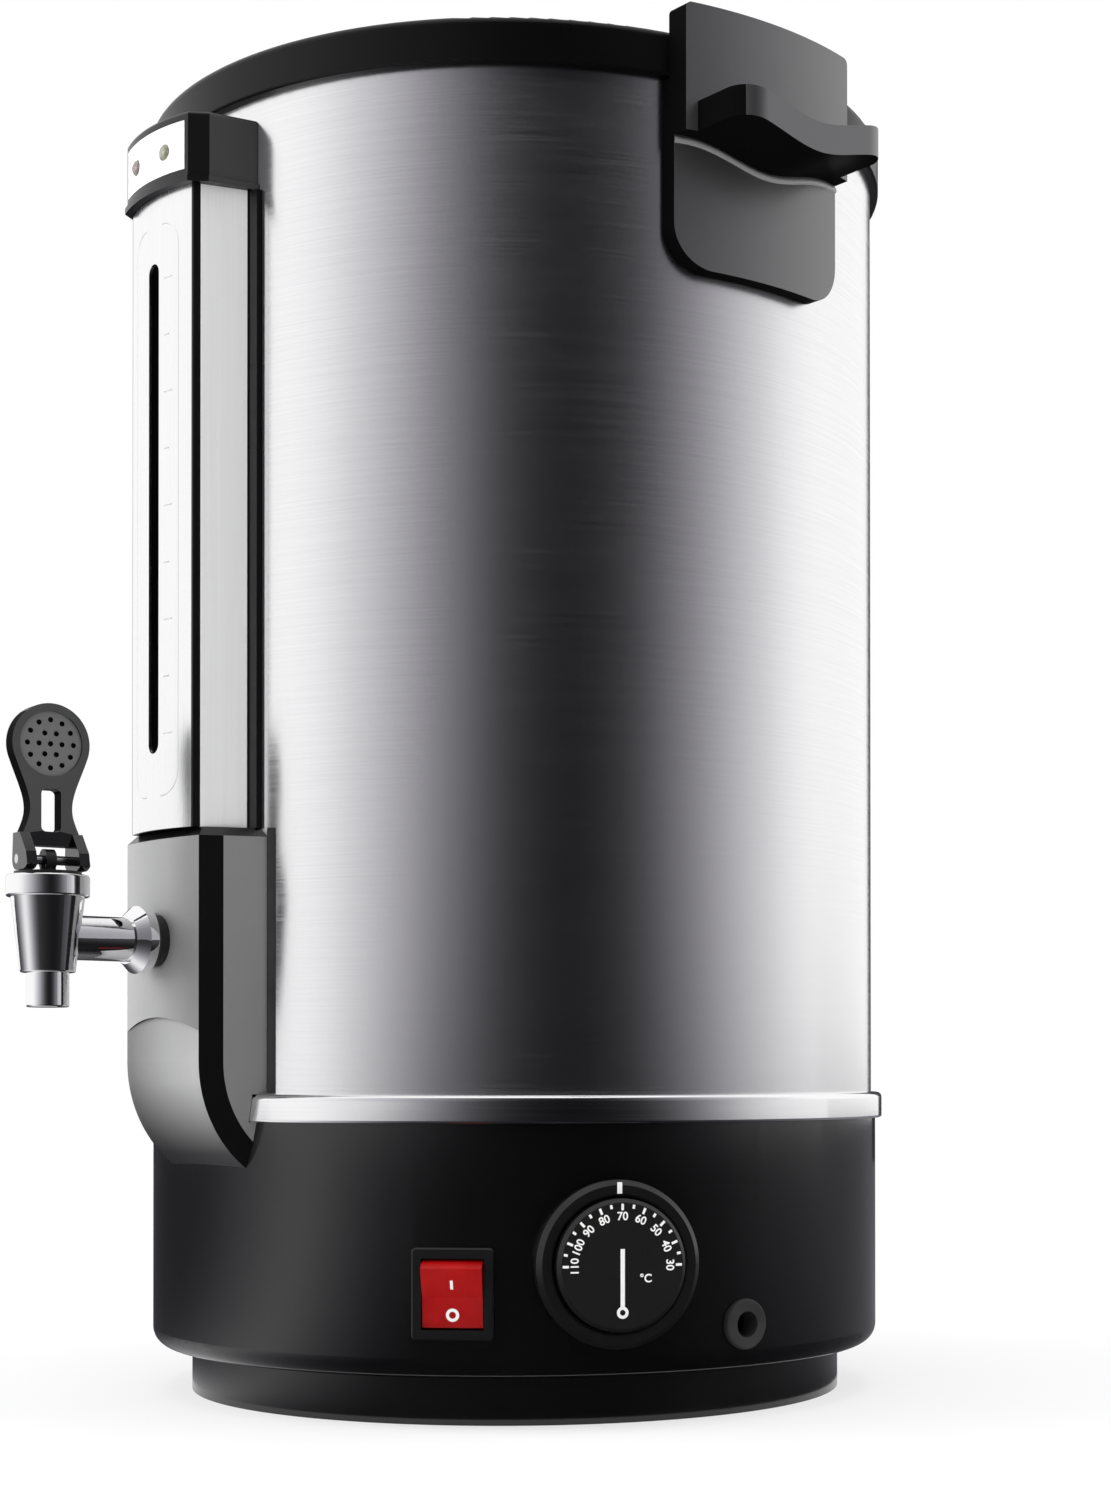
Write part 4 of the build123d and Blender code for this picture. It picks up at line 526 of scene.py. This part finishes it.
def graded(finish, source, axis, **ends):
    """A value that runs evenly with a part's place, or with the way it faces, along an axis."""
    tree = finish.node_tree
    where = tree.nodes.new("ShaderNodeTexCoord")
    split = tree.nodes.new("ShaderNodeSeparateXYZ")
    spread = tree.nodes.new("ShaderNodeMapRange")
    for socket, value in ends.items():
        spread.inputs[socket.replace("_", " ")].default_value = value
    tree.links.new(where.outputs[source], split.inputs[0])
    tree.links.new(split.outputs[axis], spread.inputs["Value"])
    return spread.outputs["Result"]


def facing_down(finish, low, high, start, end):
    """Painted shade: fades the colour of a part from high to low where its surface turns to look
    down.
    """
    fade = graded(finish, "Normal", "Z", From_Min=start, From_Max=end)
    vary(finish, "Base Color", fade, low, high, 0.0, 1.0)


def shaded_across(finish, left, right, half=0.02):
    """Multiplies a part's colour by left at x = -half, changing evenly to right at x = half: a
    painted gradient of light and shade.
    """
    tree = finish.node_tree
    shader = tree.nodes["Principled BSDF"]
    even_colour = shader.inputs["Base Color"].links[0].from_socket
    across = graded(finish, "Object", "X", From_Min=-half, From_Max=half, To_Min=left, To_Max=right)
    deepen = tree.nodes.new("ShaderNodeVectorMath")
    deepen.operation = "MULTIPLY"
    tree.links.new(even_colour, deepen.inputs[0])
    tree.links.new(across, deepen.inputs[1])
    tree.links.new(deepen.outputs[0], shader.inputs["Base Color"])


# The cover swells a little. Painted shade takes its satin to black where it turns under, and a
# painted gradient of light and shade runs it from one grey to another across its front and its
# foot.
for finish in (housing_front, housing_foot):
    facing_down(finish, (0.006, 0.006, 0.0065), (0.28, 0.28, 0.282), start=-0.7, end=-0.15)
shaded_across(housing_foot, left=0.5, right=1.45)
shaded_across(housing_front, left=1.25, right=0.85)

# A dark rubber strip is set between the cover's sides and the jacket as painted shade in the gap.
cover_half, jacket_out, gap_shade_out, gap_shade_wide = 0.0312, 0.1285, 0.1297, 0.0038
gap_shade_foot, gap_shade_start = jacket_out + 0.00002, math.asin(cover_half / jacket_out)
gap_shade_rows, gap_shade_bow = (0.1052, 0.148, 0.1908), (0.0, 0.7, 1.0, 1.0, 0.7, 0.0)
verts, faces = [], []
for side in (-1, 1):
    first = len(verts)
    for z in gap_shade_rows:
        for k, lift in enumerate(gap_shade_bow):
            a = side * (gap_shade_start + gap_shade_wide / gap_shade_out * k / (len(gap_shade_bow) - 1))
            r = gap_shade_foot + (gap_shade_out - gap_shade_foot) * lift
            verts.append((r * math.sin(a), -r * math.cos(a), z))
    for row in range(len(gap_shade_rows) - 1):
        for k in range(len(gap_shade_bow) - 1):
            i = first + len(gap_shade_bow) * row + k
            loop = (i, i + 1, i + 1 + len(gap_shade_bow), i + len(gap_shade_bow))
            faces.append(loop if side > 0 else loop[::-1])
mesh_piece("housing_gap_shade", verts, faces, foot_rubber, "urn")


# ---------------------------------------------------------------- tap
# A self-closing faucet: a forged brass body, chrome plated, with a turned collar. A spring
# under the bush closes the seat, and a black lever with two ears lifts the stem.
def chromed(name, colour, roughness):
    """Chrome plate: a near mirror with slight orange peel and a few dried drops."""
    finish = new_finish(name, colour, roughness, metallic=1.0)
    peel = cloud(finish, (260, 260, 260), detail=2)
    spots = cloud(finish, (45, 45, 30), detail=5)
    vary(finish, "Base Color", spots, tuple(c * 0.95 for c in colour), colour)
    vary(finish, "Roughness", spots, roughness, roughness + 0.05, start=0.5, end=0.85)
    roughen(finish, peel, 0.000012)
    return finish


dress(chromed("tap_chrome", (0.97, 0.97, 0.98), 0.02), "tap_body", "tap_collar")
stem_steel = turned_metal("stem_steel", (0.75, 0.75, 0.76), 0.2)
dress(stem_steel, "lever_pin", "thermostat_spindle")
stem_acetal = moulded("stem_dark_acetal", (0.012, 0.012, 0.012), 0.4)
dress(stem_acetal, "tap_stem", "guide_bush", "tap_washer", "shank_spacer")

# The lever's thumb pad is a shallow dish, a lighter grey on its floor. The dish's slope is painted
# near black as painted shade, the lever's flank the same near black, and its foot in the fork the
# drum's glossy black as painted shade in the fork.
lever_black = moulded("lever_black_plastic", (0.055, 0.055, 0.056), 0.36, grain=0.00003)
dress(lever_black, "tap_lever")
lever_turn, foot_top = math.radians(85), 0.187
lever_front = Vector((math.sin(lever_turn), -math.cos(lever_turn), 0))
lever_across = Vector((math.cos(lever_turn), math.sin(lever_turn), 0))
pad_middle, pad_r = Vector((0, -0.186, 0.21585)), 0.0104
slope_start, floor_start, floor_end = 0.001, 0.0019, 0.0023


def on_pad(face, low, high):
    """Whether a face of the lever lies in the pad, from low to high out of the lever's middle."""
    from_middle = face.center - pad_middle
    return (
        low < from_middle.dot(lever_front) < high and face.normal.dot(lever_front) > 0.9
        and (from_middle - from_middle.dot(lever_front) * lever_front).length < pad_r
    )


def dull_on_lever(face):
    """Whether a face of the lever is on the dish's slope or the flank, which are painted near
    black.
    """
    return on_pad(face, slope_start, floor_start) or face.normal.dot(lever_across) < -0.6


pad_grey = moulded("lever_pad_grey", (0.13, 0.13, 0.132), 0.42)
second_finish("tap_lever", pad_grey, lambda face: on_pad(face, floor_start, floor_end))
second_finish("tap_lever", painted_shade_black, dull_on_lever)
# Painted shade: the lever's foot in the fork is given the drum's glossy black.
second_finish("tap_lever", base_black, lambda face: face.center.z < foot_top)

# The spring stands on the stem's shoulder under the bush. In the tap it is pressed together as the
# stem lifts by 4 mm; here it is one fixed coil that keeps its shape.
spring_low, spring_top, stem_rise = 0.15925, 0.16795, 0.004
spring_r, wire_r, spring_turns = 0.004, 0.0005, 4
turn_steps, wire_sides = 32, 10
verts, faces = [], []
for i in range(spring_turns * turn_steps + 1):
    a = 2 * math.pi * i / turn_steps
    out = Vector((math.cos(a), math.sin(a), 0))
    climb = (spring_top - spring_low - 2 * wire_r) * i / (spring_turns * turn_steps)
    wire_middle = Vector((0, pad_middle.y, spring_low + wire_r + climb)) + spring_r * out
    for k in range(wire_sides):
        b = 2 * math.pi * k / wire_sides
        verts.append(wire_middle + wire_r * (math.cos(b) * out + Vector((0, 0, math.sin(b)))))
        if i:
            here, there, on = wire_sides * (i - 1), wire_sides * i, (k + 1) % wire_sides
            faces.append((here + k, there + k, there + on, here + on))
faces += [range(wire_sides), range(len(verts) - 1, len(verts) - 1 - wire_sides, -1)]
closing_spring = mesh_piece("closing_spring", verts, faces, stem_steel, "tap_valve")
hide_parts("tap_spring")
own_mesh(closing_spring)


# ---------------------------------------------------------------- thermostat dial
# A black knob pressed on the thermostat's spindle, inside a fixed bezel. The scale is pad
# printed in white, with OFF marked by a small ring at the bottom.
dress(moulded("dial_black_plastic", (0.008, 0.008, 0.0085), 0.4, grain=0.00004), "dial_knob")
dress(moulded("bezel_black_plastic", (0.006, 0.006, 0.0065), 0.28), "dial_bezel")
ink = moulded("pad_printed_white", (0.78, 0.78, 0.77), 0.5, grain=0.00001)


def facing(azimuth, out, z, x=0.0, up=0.0, turn=0.0):
    """A place on the urn's side that looks straight out, x right of its middle and up from it."""
    a = math.radians(azimuth)
    right, away = Vector((math.cos(a), math.sin(a), 0)), Vector((math.sin(a), -math.cos(a), 0))
    middle = away * out + right * x + Vector((0, 0, z + up))
    axes = Matrix((right, Vector((0, 0, 1)), away)).transposed().to_4x4()
    return Matrix.Translation(middle) @ axes @ Matrix.Rotation(math.radians(turn), 4, "Z")


def printed(name, outlines, place, body, thick=0.00005):
    """Flat printed shapes, each a counterclockwise loop of (x, y), set on a face at place."""
    verts, faces = [], []
    for loop in outlines:
        under, over = len(verts), len(verts) + len(loop)
        verts += [(x, y, z) for z in (0.0, thick) for x, y in loop]
        faces += [range(over, over + len(loop)), range(over - 1, under - 1, -1)]
        for i in range(len(loop)):
            j = (i + 1) % len(loop)
            faces.append((under + i, under + j, over + j, over + i))
    mesh_piece(name, verts, faces, ink, body, smooth=False).data.transform(place)


def lettered(name, words, size, place, body, thick=0.00003):
    """A printed word or number, centred on place."""
    letters = bpy.data.curves.new(name, "FONT")
    letters.body = words
    letters.size = size
    letters.align_x = letters.align_y = "CENTER"
    letters.extrude = thick
    letters.offset = size * 0.02
    holder = bpy.data.objects.new(name, letters)
    bpy.context.scene.collection.objects.link(holder)
    bpy.context.view_layer.update()
    mesh = bpy.data.meshes.new_from_object(holder)
    bpy.data.objects.remove(holder)
    mesh.transform(place)
    mesh.materials.clear()
    mesh.materials.append(ink)
    set_on(body, name, mesh)


def bar(x0, x1, y0, y1):
    """An upright printed bar."""
    return [(x0, y0), (x1, y0), (x1, y1), (x0, y1)]


def turned_by(loop, degrees_left):
    """A printed shape turned to the left about the middle of its face."""
    a = math.radians(degrees_left)
    return [(x * math.cos(a) - y * math.sin(a), x * math.sin(a) + y * math.cos(a)) for x, y in loop]


def half_rings(x, y, outer, inner, steps=16):
    """A thin ring as two C shapes, so that each is one plain face."""
    loops = []
    for start in (0, 180):
        turns = [math.radians(start + 180 * k / steps) for k in range(steps + 1)]
        loops.append(
            [(x + outer * math.cos(a), y + outer * math.sin(a)) for a in turns]
            + [(x + inner * math.cos(a), y + inner * math.sin(a)) for a in reversed(turns)]
        )
    return loops


# The scale runs clockwise over the top half, with a number at each longer mark, and a broad
# pointer crosses the knob. What is printed on the knob is placed in shares of its radius.
dial_azimuth, dial_z, dial_front, dial_r = 66.5, 0.052, 0.1385, 0.0208
number_high, number_out, marks_out = 0.0036, 0.735 * dial_r, 0.925 * dial_r
marks = []
for i in range(17):
    mark_in = (0.865 if i % 2 else 0.83) * dial_r
    marks.append(turned_by(bar(-0.0004, 0.0004, mark_in, marks_out), 90 - 11.25 * i))
marks.append(bar(-0.0007, 0.0007, -0.62 * dial_r, 0.25 * dial_r))
marks += half_rings(0, -0.7 * dial_r, 0.0019, 0.0009)
printed("dial_marks", marks, facing(dial_azimuth, dial_front, dial_z), "dial")
for i in range(9):
    degrees, turn = 110 - 10 * i, 90 - 22.5 * i
    x, y = -number_out * math.sin(math.radians(turn)), number_out * math.cos(math.radians(turn))
    place = facing(dial_azimuth, dial_front, dial_z, x, y, turn)
    lettered(f"dial_number_{degrees}", str(degrees), number_high, place, "dial")
unit_place = facing(dial_azimuth, dial_front, dial_z, 0.36 * dial_r, -0.2 * dial_r)
lettered("dial_unit", "°C", number_high, unit_place, "dial")

# The bezel carries one fixed line at the top, which the dial is read against.
bezel_front, index_in, index_out = 0.1352, 0.0222, 0.0258
index_place = facing(dial_azimuth, bezel_front, dial_z)
index_line = bar(-0.0008, 0.0008, index_in, index_out)
printed("bezel_index", [index_line], index_place, "urn")


# ---------------------------------------------------------------- rocker switch
# A snap-in mains switch: a black nylon body and flange, and a translucent red rocker that
# a neon lights from behind. I and O are printed on it.
dress(moulded("switch_black_nylon", (0.004, 0.0044, 0.0048), 0.34), "switch_body")
rocker_red = new_finish(
    "rocker_red", (0.55, 0.006, 0.006), 0.2, Subsurface_Weight=0.1, Transmission_Weight=0.1
)
milky = cloud(rocker_red, (130, 130, 130))
vary(rocker_red, "Base Color", milky, (0.38, 0.002, 0.003), (0.5, 0.006, 0.006))
vary(rocker_red, "Roughness", cloud(rocker_red, (90, 90, 90)), 0.16, 0.22)
dress(rocker_red, "rocker")
switch_azimuth, rocker_pivot, switch_z = 44.0, 0.12705, 0.0429
rocker_tilt, facet_lean, valley = math.radians(12), math.radians(7.18), 0.0043


def rocker_facet(side, up):
    """A place on the rocker's upper (1) or lower (-1) facet, up from its valley."""
    return (
        facing(switch_azimuth, rocker_pivot, switch_z)
        @ Matrix.Rotation(rocker_tilt, 4, "X")
        @ Matrix.Translation((0, 0, valley))
        @ Matrix.Rotation(side * facet_lean, 4, "X")
        @ Matrix.Translation((0, up, 0))
    )


on_bar, on_up = [bar(-0.00045, 0.00045, -0.0015, 0.0015)], 0.0042
printed("rocker_on_mark", on_bar, rocker_facet(1, on_up), "rocker_cap")
off_ring, off_up = half_rings(0, 0, 0.0021, 0.0011), -0.0056
printed("rocker_off_mark", off_ring, rocker_facet(-1, off_up), "rocker_cap")


# ---------------------------------------------------------------- room
# A pale table in a white studio, with soft panels left, right and overhead. Graded grey cards
# stand round the urn and one lies under it. Only gloss sees them, and they give the bare
# steel its dark middle.
def soft_panel(name, azimuth, height, away, size, power):
    """A soft lamp that looks at the urn's middle."""
    urn_middle = Vector((0, 0, 0.22))
    lamp = bpy.data.lights.new(name, "AREA")
    lamp.shape, lamp.size, lamp.energy = "SQUARE", size, power
    panel = bpy.data.objects.new(name, lamp)
    a = math.radians(azimuth)
    panel.location = (away * math.sin(a), -away * math.cos(a), height)
    aim = urn_middle - panel.location
    panel.rotation_euler = aim.to_track_quat("-Z", "Y").to_euler()
    panel.visible_glossy = False
    bpy.context.scene.collection.objects.link(panel)


soft_panel("panel_left", -35, height=0.8, away=1.5, size=1.1, power=22)
soft_panel("panel_right", 140, height=0.9, away=1.5, size=1.1, power=16)
soft_panel("panel_top", 40, height=1.9, away=0.3, size=1.2, power=10)


def seen_in_sight(tree):
    """1 where the eye, a gloss or glass sees a thing, and 0 where it only lights the rest."""
    path = tree.nodes.new("ShaderNodeLightPath")
    sight = path.outputs["Is Camera Ray"]
    for ray in ("Is Glossy Ray", "Is Transmission Ray"):
        either = tree.nodes.new("ShaderNodeMath")
        either.operation, either.use_clamp = "ADD", True
        tree.links.new(sight, either.inputs[0])
        tree.links.new(path.outputs[ray], either.inputs[1])
        sight = either.outputs[0]
    return sight


def mixed(tree, factor, first, second):
    """A mix of two shaders."""
    mix = tree.nodes.new("ShaderNodeMixShader")
    tree.links.new(factor, mix.inputs["Fac"])
    tree.links.new(first.outputs[0], mix.inputs[1])
    tree.links.new(second.outputs[0], mix.inputs[2])
    return mix


world = bpy.data.worlds.new("studio")
bpy.context.scene.world = world
world.use_nodes = True
tree = world.node_tree
tree.nodes.clear()
dim, white = tree.nodes.new("ShaderNodeBackground"), tree.nodes.new("ShaderNodeBackground")
for light, strength in ((dim, 0.7), (white, 1.0)):
    light.inputs["Color"].default_value = (1, 1, 1, 1)
    light.inputs["Strength"].default_value = strength
world_out = tree.nodes.new("ShaderNodeOutputWorld")
seen = mixed(tree, seen_in_sight(tree), dim, white)
tree.links.new(seen.outputs[0], world_out.inputs["Surface"])

# To the eye the table glows softly and fades into the white of the room 0.7 m out, and its
# paint only holds the urn's shadow. To the lamps it is plain pale paint.
table_half, table_fade = 6.0, 0.7
table_white = bpy.data.materials.new("table_white")
table_white.use_nodes = True
tree = table_white.node_tree
tree.nodes.clear()
lit, shaded = tree.nodes.new("ShaderNodeBsdfDiffuse"), tree.nodes.new("ShaderNodeBsdfDiffuse")
lit.inputs["Color"].default_value = (0.8, 0.8, 0.8, 1)
shaded.inputs["Color"].default_value = (0.35, 0.35, 0.35, 1)
glow, far = tree.nodes.new("ShaderNodeEmission"), tree.nodes.new("ShaderNodeEmission")
glow.inputs["Strength"].default_value = 0.58
near = tree.nodes.new("ShaderNodeAddShader")
tree.links.new(shaded.outputs[0], near.inputs[0])
tree.links.new(glow.outputs[0], near.inputs[1])
where = tree.nodes.new("ShaderNodeTexCoord")
reach = tree.nodes.new("ShaderNodeMapping")
reach.inputs["Scale"].default_value = (1 / table_fade, 1 / table_fade, 1)
spread = tree.nodes.new("ShaderNodeTexGradient")
spread.gradient_type = "SPHERICAL"
tree.links.new(where.outputs["Object"], reach.inputs["Vector"])
tree.links.new(reach.outputs[0], spread.inputs["Vector"])
both = mixed(tree, spread.outputs["Fac"], far, near)
table_out = tree.nodes.new("ShaderNodeOutputMaterial")
seen = mixed(tree, seen_in_sight(tree), lit, both)
tree.links.new(seen.outputs[0], table_out.inputs["Surface"])
table_corners = [
    (x * table_half, y * table_half, 0) for x, y in ((-1, -1), (1, -1), (1, 1), (-1, 1))
]
table_mesh = bpy.data.meshes.new("table")
table_mesh.from_pydata(table_corners, [], [(0, 1, 2, 3)])
table_mesh.materials.append(table_white)
table = bpy.data.objects.new("table", table_mesh)
bpy.context.scene.collection.objects.link(table)


def card(name, middle, half_turn, rows, stops, steps=60):
    """A card that only gloss sees: rows of (radius, z) swept round, its grey set by direction."""
    verts, faces = [], []
    count = len(rows)
    for k in range(steps + 1):
        a = math.radians(middle - half_turn + 2 * half_turn * k / steps)
        verts += [(away * math.sin(a), -away * math.cos(a), z) for away, z in rows]
        if k:
            for i in range(len(verts) - 2 * count, len(verts) - count - 1):
                faces.append((i, i + count, i + count + 1, i + 1))
    mesh = bpy.data.meshes.new(name)
    mesh.from_pydata(verts, [], faces)
    grey_card = bpy.data.materials.new(name)
    grey_card.use_nodes = True
    tree = grey_card.node_tree
    tree.nodes.clear()
    where = tree.nodes.new("ShaderNodeTexCoord")
    turn = tree.nodes.new("ShaderNodeMapping")
    turn.vector_type = "TEXTURE"
    turn.inputs["Rotation"].default_value = (0, 0, math.radians(middle - 90))
    sweep = tree.nodes.new("ShaderNodeTexGradient")
    sweep.gradient_type = "RADIAL"
    shade = tree.nodes.new("ShaderNodeValToRGB")
    shade.color_ramp.interpolation = "B_SPLINE"
    ramp = shade.color_ramp.elements
    for i, (azimuth, grey) in enumerate(stops):
        at, tint = 0.5 + (azimuth - middle) / 360, grey * (1 - grey)
        stop = ramp[0] if i == 0 else ramp[-1] if i == len(stops) - 1 else ramp.new(at)
        stop.position, stop.color = at, (grey, grey - 0.03 * tint, grey + 0.09 * tint, 1)
    shine = tree.nodes.new("ShaderNodeEmission")
    card_out = tree.nodes.new("ShaderNodeOutputMaterial")
    tree.links.new(where.outputs["Object"], turn.inputs["Vector"])
    tree.links.new(turn.outputs[0], sweep.inputs["Vector"])
    tree.links.new(sweep.outputs["Color"], shade.inputs["Fac"])
    tree.links.new(shade.outputs["Color"], shine.inputs["Color"])
    tree.links.new(shine.outputs[0], card_out.inputs["Surface"])
    mesh.materials.append(grey_card)
    held = bpy.data.objects.new(name, mesh)
    held.visible_camera = held.visible_diffuse = False
    held.visible_shadow = held.visible_transmission = False
    bpy.context.scene.collection.objects.link(held)


# A tall card and a low kerb stand in front of the urn, white at both ends and nearly black
# in the middle. A round one lies on the table, and two dark strips stand behind the urn.
wall_away, wall_top, wall_middle, wall_half = 2.2, 3.2, 68, 92
kerb_low, kerb_top = 0.04, 0.1
under_r, floor_r, floor_z = 0.119, 5.0, 0.0015
half_ramp = ((1.0, 1.0), (0.88, 0.95), (0.73, 0.72), (0.52, 0.36), (0.35, 0.145), (0.2, 0.03))
wall_stops = [(wall_middle - across * wall_half, grey) for across, grey in half_ramp]
wall_stops += [(wall_middle, 0.004)]
wall_stops += [(wall_middle + across * wall_half, grey) for across, grey in reversed(half_ramp)]
wall_rows = [(wall_away, kerb_top), (wall_away, wall_top)]
card("card_wall", wall_middle, wall_half, wall_rows, wall_stops)
card("card_kerb", wall_middle, wall_half, [(wall_away, kerb_low), (wall_away, kerb_top)], [
    (-24, 1.0), (-6, 1.0), (10, 0.9), (24, 0.42), (37, 0.07), (50, 0.008), (62, 0.002),
    (75, 0.002), (88, 0.007), (101, 0.07), (116, 0.42), (131, 0.9), (146, 1.0), (160, 1.0),
])
card("card_floor", 20, 180, [(under_r, floor_z), (floor_r, floor_z)], [
    (-160, 0.2), (-130, 0.09), (-100, 0.05), (-70, 0.06), (-48, 0.12), (-29, 0.5), (-13, 1.0),
    (1, 0.5), (15, 0.13), (29, 0.02), (80, 0.003), (110, 0.03), (140, 0.15), (160, 0.2),
    (200, 0.2),
])
for name, middle, half_turn in (("card_left", -117, 14), ("card_right", 214, 8)):
    stops = [(middle - half_turn, 0.05), (middle + half_turn, 0.05)]
    card(name, middle, half_turn, [(wall_away, 0.0), (wall_away, wall_top)], stops)


# ---------------------------------------------------------------- camera
# It stands low at the urn's right front, level with the switch, and looks slightly up. Its
# lens is worked out for an upright frame 1500 pixels high.
view_azimuth, view_away, view_z = math.radians(52.78), 0.8974, 0.1123
pan, rise, roll = math.radians(-2.65), math.radians(90 + 0.5), math.radians(-0.03)
frame_high, focal = 1500, 2459
eye = bpy.data.cameras.new("camera")
eye.lens = focal / frame_high * eye.sensor_width
eye.shift_x, eye.shift_y = -0.05, 0.2
camera = bpy.data.objects.new("camera", eye)
stand = Vector((view_away * math.sin(view_azimuth), -view_away * math.cos(view_azimuth), view_z))
camera.matrix_world = (
    Matrix.Translation(stand)
    @ Matrix.Rotation(view_azimuth + pan, 4, "Z")
    @ Matrix.Rotation(rise, 4, "X")
    @ Matrix.Rotation(roll, 4, "Z")
)
bpy.context.scene.collection.objects.link(camera)
bpy.context.scene.camera = camera
bpy.context.scene.view_settings.view_transform = "Standard"
